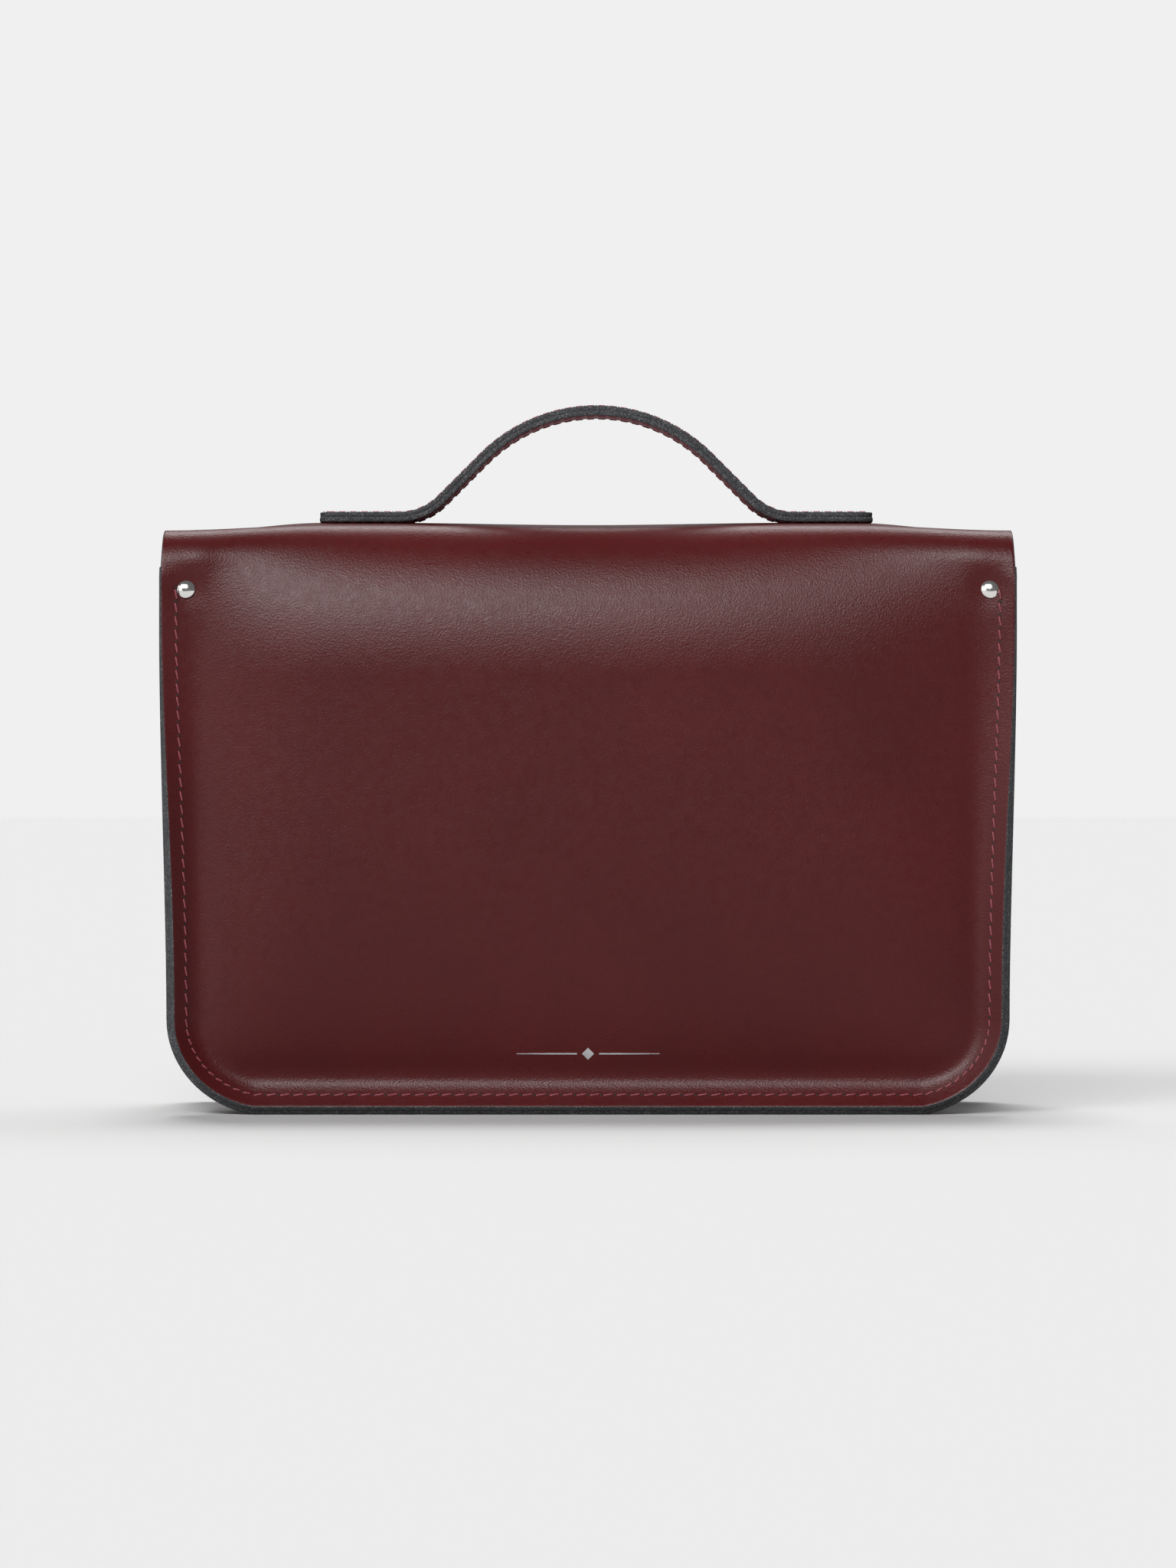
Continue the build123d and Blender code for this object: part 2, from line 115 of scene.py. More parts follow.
# ---- materials
class Nodes:
    """Short ways to add nodes to a material's or a world's tree; each returns the new node's output."""

    def __init__(self, tree):
        self.tree = tree

    def feed(self, socket, value):
        """Links an output to an input socket, or sets the socket's own number or colour."""
        if isinstance(value, bpy.types.NodeSocket):
            self.tree.links.new(value, socket)
        else:
            socket.default_value = (*value, 1) if isinstance(value, tuple) else value

    def add(self, kind, output, inputs, **settings):
        node = self.tree.nodes.new("ShaderNode" + kind)
        for name, value in settings.items():
            setattr(node, name, value)
        for name, value in inputs.items():
            self.feed(node.inputs[name], value)
        return node.outputs[output]

    def place(self):
        return self.add("TexCoord", "Object", {})

    def noise(self, scale, detail=3.0, roughness=0.5):
        inputs = {"Vector": self.place(), "Scale": scale, "Detail": detail, "Roughness": roughness}
        return self.add("TexNoise", "Fac", inputs)

    def math(self, operation, a, b):
        return self.add("Math", 0, {0: a, 1: b}, operation=operation)

    def mix(self, factor, a, b):
        return self.add("Mix", "Result", {"Factor": factor, "A": a, "B": b}, data_type="RGBA")

    def bump(self, height, strength, distance):
        return self.add("Bump", "Normal", {"Height": height, "Strength": strength, "Distance": distance})

    def ramp(self, source, *stops):
        """The source run through (position, grey or rgb) stops."""
        node = self.tree.nodes.new("ShaderNodeValToRGB")
        elements = node.color_ramp.elements
        while len(elements) < len(stops):
            elements.new(0.5)
        for element, (position, colour) in zip(elements, stops):
            element.position = position
            element.color = (*colour, 1) if isinstance(colour, tuple) else (colour, colour, colour, 1)
        self.feed(node.inputs[0], source)
        return node.outputs[0]


class Material(Nodes):
    """A named material whose nodes end in the principled shader."""

    def __init__(self, name):
        self.data = bpy.data.materials.new(name)
        self.data.use_nodes = True
        super().__init__(self.data.node_tree)

    def shade(self, colour, roughness, normal=None, specular=0.5, metallic=0.0):
        """Feeds the principled shader and returns the finished material."""
        shader = self.tree.nodes["Principled BSDF"]
        for socket, value in (
            ("Base Color", colour), ("Roughness", roughness), ("Specular IOR Level", specular),
            ("Metallic", metallic),
        ):
            self.feed(shader.inputs[socket], value)
        if normal is not None:
            self.feed(shader.inputs["Normal"], normal)
        return self.data


def leather_material():
    """Burgundy full-grain leather: a soft polish over small pebbled cells, broken up by finer noise."""
    nodes = Material("burgundy_leather")
    clouds = nodes.ramp(nodes.noise(14, 4, 0.6), (0.35, 0.0), (0.68, 1.0))
    mottle = nodes.ramp(nodes.noise(210, 5, 0.65), (0.45, 0.0), (0.75, 0.35))
    colour = nodes.mix(clouds, (0.051, 0.0044, 0.0049), (0.060, 0.0054, 0.0060))
    colour = nodes.mix(mottle, colour, (0.042, 0.0036, 0.0040))
    cells = {"Vector": nodes.place(), "Scale": 1500, "Randomness": 1}
    grain = nodes.add("TexVoronoi", "Distance", cells, feature="SMOOTH_F1")
    for scale, detail, roughness, share in ((2600, 4, 0.6, 0.7), (260, 3, 0.55, 0.15)):
        grain = nodes.math("ADD", grain, nodes.math("MULTIPLY", nodes.noise(scale, detail, roughness), share))
    polish = nodes.ramp(nodes.noise(320, 4, 0.6), (0.3, 0.27), (0.7, 0.38))
    return nodes.shade(colour, polish, nodes.bump(grain, 0.42, 0.0002), specular=0.24)


def suede_material(name, dark, light):
    """The flesh side of the leather: napped, dull, uneven."""
    nodes = Material(name)
    fibres = nodes.noise(1400, 6, 0.7)
    patches = nodes.math("MULTIPLY", nodes.noise(60, 4, 0.6), 0.4)
    nap = nodes.math("ADD", nodes.math("MULTIPLY", fibres, 0.6), patches)
    colour = nodes.ramp(nap, (0.35, dark), (0.65, light))
    return nodes.shade(colour, 0.92, nodes.bump(fibres, 0.5, 0.0002), specular=0.2)


def cut_edge_material():
    """Black dyed edge with pale fibres showing through as specks."""
    nodes = Material("cut_edge")
    specks = nodes.noise(1500, 3, 0.7)
    fibres = nodes.ramp(specks, (0.40, (0.016, 0.017, 0.019)), (0.56, (0.050, 0.052, 0.056)),
                        (0.70, (0.17, 0.16, 0.16)))
    dye = nodes.ramp(nodes.noise(160), (0.4, 0.0), (0.8, 0.6))
    colour = nodes.mix(dye, fibres, (0.014, 0.015, 0.017))
    return nodes.shade(colour, 0.72, nodes.bump(specks, 0.6, 0.0002), specular=0.3)


def thread_material():
    nodes = Material("thread")
    twist = nodes.noise(1800, 2)
    colour = nodes.ramp(twist, (0.3, (0.11, 0.016, 0.026)), (0.7, (0.24, 0.048, 0.062)))
    return nodes.shade(colour, 0.55, nodes.bump(twist, 0.4, 0.0001))


def metal_material(name, tint, low, high):
    """Bright metal with faint handling marks; low and high bound its roughness."""
    nodes = Material(name)
    smears = nodes.noise(240, 4, 0.6)
    tone = nodes.ramp(smears, (0.3, tuple(0.93 * c for c in tint)), (0.7, tint))
    roughness = nodes.ramp(smears, (0.35, low), (0.75, high))
    return nodes.shade(tone, roughness, nodes.bump(nodes.noise(900), 0.05, 0.0001), metallic=1.0)


# Needle holes: a near-black material that paints the shade inside each hole onto small caps lying on the
# leather.
def hole_shade_material():
    nodes = Material("stitch_hole_painted_shade")
    shadow = nodes.ramp(nodes.noise(900), (0.3, (0.006, 0.002, 0.002)), (0.7, (0.014, 0.004, 0.004)))
    return nodes.shade(shadow, 0.8)


BURGUNDY = leather_material()
SUEDE = suede_material("flesh_side", (0.10, 0.030, 0.030), (0.17, 0.058, 0.055))
LINING = suede_material("handle_lining", (0.24, 0.10, 0.11), (0.36, 0.18, 0.19))
EDGE = cut_edge_material()
THREAD = thread_material()
NICKEL = metal_material("polished_nickel", (0.80, 0.79, 0.77), 0.10, 0.20)
STEEL = metal_material("snap_steel", (0.60, 0.59, 0.57), 0.28, 0.42)
FOIL = metal_material("silver_foil", (0.86, 0.86, 0.88), 0.25, 0.38)
HOLE_SHADE = hole_shade_material()


# ---- mesh tools
def make_object(name, points, faces, materials, indices=None, sharp=38.0):
    """A smooth-shaded mesh object; edges sharper than the angle in degrees stay crisp."""
    mesh = bpy.data.meshes.new(name)
    mesh.from_pydata([tuple(p) for p in points], [], [tuple(f) for f in faces])
    for material in materials:
        mesh.materials.append(material)
    if indices is not None:
        mesh.polygons.foreach_set("material_index", list(indices))
    mesh.polygons.foreach_set("use_smooth", [True] * len(mesh.polygons))
    mesh.set_sharp_from_angle(angle=radians(sharp))
    mesh.validate()
    mesh.update()
    obj = bpy.data.objects.new(name, mesh)
    bpy.context.scene.collection.objects.link(obj)
    return obj


def declare(obj, slot, body, *nodes):
    """Hides the CAD nodes a piece stands for and hangs the piece on the body it rides on, if it rides on one;
    slot, the piece's finish, is not used.
    """
    if nodes:
        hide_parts(*nodes)
    if body is not None:
        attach(obj, body)


def grid_faces(rows, columns, wrap=False):
    """Quads over a grid of points given row by row; wrap closes each row round on itself."""
    wide = columns if wrap else columns + 1
    faces = []
    for start in range(0, rows * wide, wide):
        for i in range(columns):
            a, b = start + i, start + (i + 1) % wide
            faces.append((a, b, b + wide, a + wide))
    return faces


def joined(shapes):
    """Several (points, faces) shapes as one."""
    points, faces = [], []
    for shape_points, shape_faces in shapes:
        faces += [tuple(i + len(points) for i in face) for face in shape_faces]
        points += shape_points
    return points, faces


def ring(centre, across, along, count):
    """Points of an ellipse round a centre, given its two half axes."""
    return [centre + across * cos(2 * pi * j / count) + along * sin(2 * pi * j / count) for j in range(count)]


def spindle(first, rings, last=None):
    """A closed shape over equal rings, from a first point to a last point or to a flat end."""
    around = len(rings[0])
    points = [first] + [point for each in rings for point in each]
    faces = [(0, 1 + (j + 1) % around, 1 + j) for j in range(around)]
    faces += [tuple(i + 1 for i in face) for face in grid_faces(len(rings) - 1, around, wrap=True)]
    end = len(points) - around
    if last is None:
        faces.append(tuple(range(end, end + around)))
    else:
        faces += [(end + j, end + (j + 1) % around, end + around) for j in range(around)]
        points.append(last)
    return points, faces


def point_normals(points, faces):
    """Area-weighted normals of a quad mesh."""
    points, faces = np.asarray(points), np.asarray(faces)
    a = points[faces[:, 2]] - points[faces[:, 0]]
    b = points[faces[:, 3]] - points[faces[:, 1]]
    face_normals = np.cross(a, b)
    normals = np.zeros_like(points)
    for corner in range(4):
        np.add.at(normals, faces[:, corner], face_normals)
    return normals / np.maximum(np.linalg.norm(normals, axis=1, keepdims=True), 1e-12)


def rim_edges(faces):
    """Directed edges that belong to one face only."""
    seen = {(a, b) for face in faces for a, b in zip(face, (*face[1:], face[0]))}
    return [(a, b) for a, b in sorted(seen) if (b, a) not in seen]


CUT_EDGE = ((0.06, 0.55), (0.22, 0.95), (0.5, 1.0), (0.78, 0.95), (0.94, 0.55))  # (depth, reach) shares


def thicken(points, faces, thickness, roundness=0.35 * MM, flush=None):
    """Closes a grain-side surface into a sheet of leather with rounded cut edges, square where flush.
    Returns points, faces and material indices: 0 grain side, 1 cut edge, 2 flesh side."""
    points = np.asarray(points, float)
    faces = [tuple(int(i) for i in f) for f in faces]
    normals = point_normals(points, faces)
    count = len(points)
    edges = rim_edges(faces)
    away = {}
    for a, b in edges:
        along = points[b] - points[a]
        along = along / max(np.linalg.norm(along), 1e-12)
        for end in (a, b):
            away.setdefault(end, []).append(np.cross(along, normals[end]))
    all_points = [*points, *(points - normals * thickness)]
    rim = {}
    for vertex, directions in away.items():
        out = np.sum(directions, axis=0)
        out = out / max(np.linalg.norm(out), 1e-12)
        if flush is not None and flush(points[vertex]):
            out = out * 0
        rim[vertex] = []
        for depth, reach in CUT_EDGE:
            rim[vertex].append(len(all_points))
            all_points.append(points[vertex] - normals[vertex] * thickness * depth + out * roundness * reach)
    all_faces = list(faces)
    for a, b in edges:
        left = [a, *rim[a], a + count]
        right = [b, *rim[b], b + count]
        for i in range(len(left) - 1):
            all_faces.append((right[i], left[i], left[i + 1], right[i + 1]))
    indices = [0] * len(faces) + [1] * (len(all_faces) - len(faces)) + [2] * len(faces)
    all_faces += [tuple(i + count for i in reversed(face)) for face in faces]
    return np.array(all_points), all_faces, indices


def facing(points, faces, direction):
    """The faces, turned round if on the whole they look away from the direction."""
    if float((point_normals(points, faces) @ np.array(direction)).sum()) < 0:
        return [tuple(reversed(f)) for f in faces]
    return faces


def leather_piece(name, points, faces, thickness=LEATHER, inside=SUEDE, roundness=0.35 * MM, flush=None):
    """A sheet of leather from the surface of its grain side."""
    points, faces, indices = thicken(points, faces, thickness, roundness, flush)
    return make_object(name, points, faces, [BURGUNDY, EDGE, inside], indices)


# ---- the U-shaped seam line
class SeamPath:
    """The outline of a panel, from its top left down one side, along the bottom and up the other."""

    def __init__(self, half, bottom, top, radius):
        self.half, self.bottom, self.top, self.radius = half, bottom, top, radius
        self.side = top - bottom - radius
        self.arc = radius * pi / 2
        self.base = 2 * (half - radius)
        self.length = 2 * self.side + 2 * self.arc + self.base

    def at(self, s):
        """Point (x, z), inward normal, and corner turn from 0 on a side to 1 on the bottom."""
        left = s <= self.length / 2
        if not left:
            s = self.length - s
        sign = -1 if left else 1
        if s <= self.side:
            point, normal, turn = (self.half, self.top - s), (-1.0, 0.0), 0.0
        elif s <= self.side + self.arc:
            angle = (s - self.side) / self.radius
            centre = (self.half - self.radius, self.bottom + self.radius)
            point = (centre[0] + self.radius * cos(angle), centre[1] - self.radius * sin(angle))
            normal, turn = (-cos(angle), sin(angle)), angle / (pi / 2)
        else:
            rest = s - self.side - self.arc
            point, normal, turn = (self.half - self.radius - rest, self.bottom), (0.0, 1.0), 1.0
        return np.array((sign * point[0], point[1])), np.array((sign * normal[0], normal[1])), turn

    def stations(self, cell):
        """Arc lengths that cut each stretch evenly, and the number of the middle one of the first corner."""
        sides = max(2, round(self.side / cell))
        corner = 2 * max(2, round(self.arc / cell / 2))
        base = 2 * max(2, round(self.base / cell / 2))
        stations, start = [], 0
        for length, parts in (
            (self.side, sides), (self.arc, corner), (self.base, base), (self.arc, corner), (self.side, sides),
        ):
            stations += [start + length * i / parts for i in range(parts)]
            start += length
        return [*stations, self.length], sides + corner // 2


OUTLINE = SeamPath(HALF_WIDTH, 0.0, FOLD_HEIGHT, CORNER)


def back_stack(height):
    """Thickness of the back seam's layers, the same at every height."""
    return 2 * LEATHER


def front_stack(height):
    """Thickness of the front seam's layers, three where the pocket is stitched in."""
    return LEATHER * (3 - ease(POCKET_TOP - 1 * MM, POCKET_TOP + 3 * MM, height))


def seam_draw(height, turn):
    """How far the flared seam pulls its outline in."""
    return 3.0 * MM * (1 - ease(33 * MM, 185 * MM, height)) * (1 - turn ** 3)


def seam_flare(height):
    """Angle by which the seam's edge turns outwards, in radians."""
    lean = 42.0 - 32.0 * ease(60 * MM, 205 * MM, height)
    return radians(lean) * (1 - ease(GUSSET_TOP - 2 * MM, GUSSET_TOP + 8 * MM, height))


class Seam:
    """The stitched flange on one side of the bag: 1 for the back, -1 for the front."""

    def __init__(self, face, side, stack):
        self.face, self.side, self.stack = face, side, stack

    def point(self, s, q, depth, stack=None):
        """The point s along the outline, q in from the cut edge along the leather and depth below the
        outer face, and its face normal. stack is the thickness of all layers."""
        origin, inward, turn = OUTLINE.at(s)
        height = origin[1]
        stack = self.stack(height) if stack is None else stack
        lean = seam_flare(height)
        run = VALLEY - q
        reach, edge_reach = hypot(run, BEND), hypot(VALLEY, BEND)
        tilt = lean * 0.5 * (1 + run / reach)
        edge_tilt = lean * 0.5 * (1 + VALLEY / edge_reach)
        inset = seam_draw(height, turn) + stack * sin(edge_tilt) - depth * sin(tilt)
        inset += q - (1 - cos(lean)) * 0.5 * (q + edge_reach - reach)
        rise = sin(lean) * 0.5 * (run + reach) * (1 - ease(18 * MM, 29 * MM, q))
        x, z = origin + inward * inset
        normal = np.array((inward[0] * sin(tilt), self.side * cos(tilt), inward[1] * sin(tilt)))
        return np.array((x, self.face + self.side * (rise - depth * cos(tilt)), z)), normal


BACK_SEAM = Seam(BACK_FACE, 1, back_stack)
FRONT_SEAM = Seam(FRONT_FACE, -1, front_stack)


# ---- panels with round bottom corners
def counterclockwise(face, points):
    """The face of an upright panel, wound one way round in (x, z)."""
    corners = [points[i] for i in face]
    area = sum(a[0] * b[1] - b[0] * a[1] for a, b in zip(corners, corners[1:] + corners[:1]))
    return face if area > 0 else tuple(reversed(face))


def panel_grid(path, insets, cell, place):
    """Quads over a panel: a band that follows the outline, and a smooth field inside it.
    place(s, inset) gives the (x, z) of a point in the band. Also returns each point's (s, inset),
    None in the field, and the numbers of the top row's points."""
    stations, corner = path.stations(cell)
    known = [(s, d) for s in stations for d in insets]
    points = [place(s, d) for s, d in known]
    wide, last = len(insets), len(insets) - 1
    faces = grid_faces(len(stations) - 1, last)
    far = len(stations) - 1 - corner
    columns, rows = far - corner, corner
    grid = np.zeros((rows + 1, columns + 1), int)
    grid[0] = [(corner + i) * wide + last for i in range(columns + 1)]
    grid[:, 0] = [(corner - j) * wide + last for j in range(rows + 1)]
    grid[:, columns] = [(far + j) * wide + last for j in range(rows + 1)]
    bottom, left, right = ([points[g] for g in side] for side in (grid[0], grid[:, 0], grid[:, columns]))
    for j in range(1, rows + 1):
        for i in range(1, columns):
            u, v = i / columns, j / rows
            sag = bottom[i] - (1 - u) * left[0] - u * right[0]
            grid[j, i] = len(points)
            points.append((1 - u) * left[j] + u * right[j] + (1 - v) * sag)
            known.append(None)
    for j in range(rows):
        for i in range(columns):
            faces.append((grid[j, i], grid[j, i + 1], grid[j + 1, i + 1], grid[j + 1, i]))
    faces = [counterclockwise(face, points) for face in faces]
    top_row = [*range(wide), *grid[rows, 1:columns]]
    top_row += [(len(stations) - 1) * wide + m for m in range(last, -1, -1)]
    return points, known, faces, top_row


def add_rows(points, faces, row, new_rows):
    """Continues a panel upwards: each new row has a point for each column of the one below."""
    for coordinates in new_rows:
        fresh = list(range(len(points), len(points) + len(row)))
        points.extend(coordinates)
        for i in range(len(row) - 1):
            faces.append((row[i], row[i + 1], fresh[i + 1], fresh[i]))
        row = fresh


BAND = [q * MM for q in (0, 0.9, 2.0, 3.3, 4.5, 5.6, 6.8, 8, 9.2, 10.4, 11.8, 13.4, 15.5, 18, 21, 25, 29)]


def seam_panel(seam, top, cell, depth, rise):
    """A panel stitched into a seam, depth below its face: the band lies on the flange and rise(x, z) is
    how far the leather stands out. Returns points, faces and the numbers of the top row's points."""
    path = SeamPath(HALF_WIDTH, 0.0, top, CORNER)
    offset = OUTLINE.side - path.side
    level = seam.face - seam.side * depth

    def flange(s, d):
        return seam.point(s + offset, d, depth)[0]

    flat, known, faces, top_row = panel_grid(path, BAND, cell, lambda s, d: flange(s, d)[[0, 2]])
    points = []
    for (x, z), source in zip(flat, known):
        lift = 0.0 if source is None else flange(*source)[1] - level
        points.append(np.array((x, level + seam.side * rise(x, z) + lift, z)))
    return points, faces, top_row


def risen(distance, spread):
    """Share of its bulge that leather has reached at a distance from its cut edge."""
    return 1 - np.exp(-((max(distance - FLAT_EDGE, 0) / spread) ** 1.15))


def clear_of_seam(distance):
    """Fades a bulge out over the leather that is stitched down."""
    return ease(10 * MM, 24 * MM, distance)


def swell(x, z, bulge, spread):
    """Height of a panel's soft bulge over the seam's face at (x, z)."""
    dx = HALF_WIDTH - abs(x)
    dz = max(z, 0.1 * MM)
    near = (max(dx, 0.1 * MM) ** -3 + dz ** -3) ** (-1 / 3)
    true = min(dx, dz)
    if dx < CORNER and dz < CORNER:
        true = CORNER - hypot(CORNER - dx, CORNER - dz)
    return bulge * risen(near, spread) * clear_of_seam(true)


def side_swell(x, half, spread):
    """The same, as a share of the bulge, for leather that is held at its two sides only."""
    distance = half - abs(x)
    return risen(distance, spread) * clear_of_seam(distance)


def back_spread(x, z):
    """The back panel's upper corners are flatter than the rest, the one at -X most."""
    flat = 0.3 + 0.6 * ease(20 * MM, -90 * MM, x)
    return BACK_SPREAD * (1 + flat * ease(70 * MM, 160 * MM, z))


def back_crown(x):
    """A last shallow crown over the whole width of the back."""
    return 1.2 * MM * (1 - min(1, (x / HALF_WIDTH) ** 2)) * ease(8 * MM, 60 * MM, HALF_WIDTH - abs(x))


def rivet_press(x, z):
    """The leather is drawn down round each corner rivet."""
    reach = [hypot(x - sign * CORNER_RIVET_X, z - CORNER_RIVET_Z) for sign in (-1, 1)]
    return sum(0.9 * MM * np.exp(-((r / (6.5 * MM)) ** 2)) for r in reach)


def back_swell(x, z):
    crown = back_crown(x) * ease(20 * MM, 110 * MM, z)
    return swell(x, z, BACK_BULGE, back_spread(x, z)) + crown - rivet_press(x, z)


def droop(x):
    return TOP_DROOP * ease(100 * MM, FLAP_HALF, abs(x)) + TOP_SAG * (1 - ease(0, 80 * MM, abs(x)))


def fold_profile(face, inward, radius_y, radius_z, start, rows):
    """Side view of a bend from upright to level: (y, z) at even steps. inward is -1 or +1 along Y."""
    angles = [pi / 2 * i / rows for i in range(rows + 1)]
    return [(face + inward * radius_y * (1 - cos(a)), start + radius_z * sin(a)) for a in angles]


def edge_profile(face, inward, start, rows):
    """Side view at the flap's ends: straight up, then a tight bend, cut into the same number of steps."""
    straight, arc = FOLD_HEIGHT - start, FOLD * pi / 2
    steps = []
    for i in range(rows + 1):
        s = (straight + arc) * i / rows
        angle = max(s - straight, 0) / FOLD
        height = start + s if s <= straight else FOLD_HEIGHT + FOLD * sin(angle)
        steps.append((face + inward * FOLD * (1 - cos(angle)), height))
    return steps


def on_flap_middle(point):
    """Where the rear and front halves of the flap's leather meet without a joint to be seen."""
    return abs(point[1] - FLAP_MIDDLE) < 0.01 * MM


def level_rows(last, count=12):
    """Rows of the flap's top, from the end of a crease to the flap's middle."""
    rows = []
    for j in range(1, count + 1):
        t = j / count
        row = []
        for x, y, z in last:
            held = TOP_CROWN * (1 - 0.8 * ease(104 * MM, 150 * MM, abs(x))) * ease(0, 1, t)
            level = TOP - droop(x)
            row.append(np.array((x, y + (FLAP_MIDDLE - y) * t, level + (z - level) * (1 - t) + held)))
        rows.append(row)
    return rows


def build_back():
    """Back panel, rear crease and the rear half of the flap's top, in one piece of leather."""
    points, faces, top_row = seam_panel(BACK_SEAM, SHOULDER, 2.6 * MM, 0, back_swell)
    rows = 34
    centre = fold_profile(BACK_FACE + BACK_BULGE, -1, REAR_ROUNDING, TOP - SHOULDER, SHOULDER, rows)
    ends = edge_profile(BACK_FACE, -1, SHOULDER, rows)
    base = [points[i] for i in top_row]
    insets = BAND + [None] * (len(top_row) - 2 * len(BAND)) + BAND[::-1]
    new_rows = []
    for j in range(1, rows + 1):
        bend = j / rows
        end_y, end_z = ends[j]
        fade = ease(GUSSET_TOP - 14 * MM, FOLD_HEIGHT + 8 * MM, end_z)
        row = []
        for start, d in zip(base, insets):
            x, lift = start[0], 0.0
            if d is not None:
                s = OUTLINE.side - (min(end_z, FOLD_HEIGHT) - CORNER)
                sign = -1 if x < 0 else 1
                edge, _ = BACK_SEAM.point(s if x < 0 else OUTLINE.length - s, d, 0)
                x = edge[0] * (1 - fade) + sign * (FLAP_HALF + 1.1 * MM * (1 - 0.9 * bend) - d) * fade
                lift = edge[1] - BACK_FACE
            w = side_swell(x, HALF_WIDTH, back_spread(x, SHOULDER))
            y = end_y * (1 - w) + centre[j][0] * w + back_crown(x) * (1 - ease(0, 0.9, bend))
            z = end_z * (1 - w) + centre[j][1] * w
            y += lift * (1 - ease(0.5, 0.8, bend)) - rivet_press(x, z)
            row.append(np.array((x, y, z - droop(x) * ease(0.35, 1.0, bend))))
        new_rows.append(row)
    add_rows(points, faces, top_row, new_rows + level_rows(new_rows[-1]))
    faces = facing(points, faces, (0, 1, 0.3))
    obj = leather_piece("back_and_rear_flap", points, faces, flush=on_flap_middle)
    declare(obj, "burgundy_leather", None, "back_panel", "flap_rear_fold")
    return obj


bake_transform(build_back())


# ---- front of the flap
FLAP_CORNER = 30 * MM
FLAP_BAND = [q * MM for q in (0, 1.0, 2.2, 3.6, 5.0, 6.6, 8.6, 11, 14, 18, 23)]


def flap_swell(x, z):
    """The flap's front stands a little proud of its CAD face in the middle."""
    return FLAP_BULGE * side_swell(x, FLAP_HALF, FLAP_SPREAD) * ease(FLAP_BOTTOM, FLAP_BOTTOM + 40 * MM, z)


def build_flap_front():
    """Front half of the flap's top, front crease and the drop with its round corners."""
    top = FOLD_HEIGHT - 8 * MM
    path = SeamPath(FLAP_HALF, FLAP_BOTTOM, top, FLAP_CORNER)

    def place(s, d):
        point, inward, _ = path.at(s)
        return point + inward * d

    flat, _, faces, top_row = panel_grid(path, FLAP_BAND, 3.0 * MM, place)
    points = [np.array((x, FLAP_FACE - flap_swell(x, z), z)) for x, z in flat]
    rows = 20
    ends = edge_profile(FLAP_FACE, 1, top, rows)
    centre = fold_profile(FLAP_FACE - FLAP_BULGE, 1, FRONT_ROUNDING, TOP - top, top, rows)
    columns = [points[i][0] for i in top_row]
    new_rows = []
    for j in range(1, rows + 1):
        row = []
        for x in columns:
            w = side_swell(x, FLAP_HALF, FLAP_SPREAD)
            y, z = (ends[j][i] * (1 - w) + centre[j][i] * w for i in (0, 1))
            row.append(np.array((x, y, z - droop(x) * ease(0.35, 1.0, j / rows))))
        new_rows.append(row)
    add_rows(points, faces, top_row, new_rows + level_rows(new_rows[-1]))
    faces = facing(points, faces, (0, -1, 0.3))
    obj = leather_piece("front_flap", points, faces, flush=on_flap_middle)
    declare(obj, "burgundy_leather", None, "flap_top", "flap_front_fold", "flap_front")
    return obj


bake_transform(build_flap_front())


# ---- gusset, front wall and slip pocket
def chaikin(line, rounds=2):
    """Rounds an open polyline off by cutting its corners; the ends stay."""
    for _ in range(rounds):
        fresh = [line[0]]
        for a, b in zip(line[:-1], line[1:]):
            fresh += [a * 0.75 + b * 0.25, a * 0.25 + b * 0.75]
        line = [*fresh, line[-1]]
    return line


FLANGE_STEPS = [q * MM for q in (0, 1.5, 3.5, 5.6, 7.5)]


def build_gusset():
    """A channel: grain side out, its edges turned out and stitched between the panels."""
    path = SeamPath(HALF_WIDTH, 0.0, GUSSET_TOP, CORNER)
    offset = OUTLINE.side - path.side
    lines = []
    for start in path.stations(3.2 * MM)[0]:
        s = start + offset
        origin, inward, _ = OUTLINE.at(s)
        stack = front_stack(origin[1])
        back, front = BACK_FACE - 2 * LEATHER, FRONT_FACE + stack
        wall_x, wall_z = origin + inward * FLANGE
        bend_x, bend_z = origin + inward * (FLANGE - 1.2 * MM)
        line = [BACK_SEAM.point(s, q, 2 * LEATHER)[0] for q in FLANGE_STEPS]
        line.append(np.array((bend_x, back - 0.4 * MM, bend_z)))
        line += [np.array((wall_x, y, wall_z)) for y in np.linspace(back - 3 * MM, front + 3 * MM, 9)]
        line.append(np.array((bend_x, front + 0.4 * MM, bend_z)))
        line += [FRONT_SEAM.point(s, q, stack)[0] for q in reversed(FLANGE_STEPS)]
        lines.append(chaikin(line))
    points = [point for line in lines for point in line]
    faces = facing(points, grid_faces(len(lines) - 1, len(lines[0]) - 1), (0, 0, -1))
    declare(leather_piece("gusset_strip", points, faces), "burgundy_leather", "bag_body", "gusset")


def build_front_wall(name, node, top, depth, bulge):
    """A panel of the front seam, depth below its outer face."""
    def rise(x, z):
        return swell(x, z, bulge, POCKET_SPREAD)

    points, faces, _ = seam_panel(FRONT_SEAM, top, 3.0 * MM, depth, rise)
    faces = facing(points, faces, (0, -1, 0))
    declare(leather_piece(name, points, faces), "burgundy_leather", "bag_body", node)


build_gusset()
build_front_wall("pocket_leather", "pocket_panel", POCKET_TOP, 0.0, POCKET_BULGE)
build_front_wall("front_wall_leather", "front_panel", FRONT_PANEL_TOP, LEATHER, 0.0)


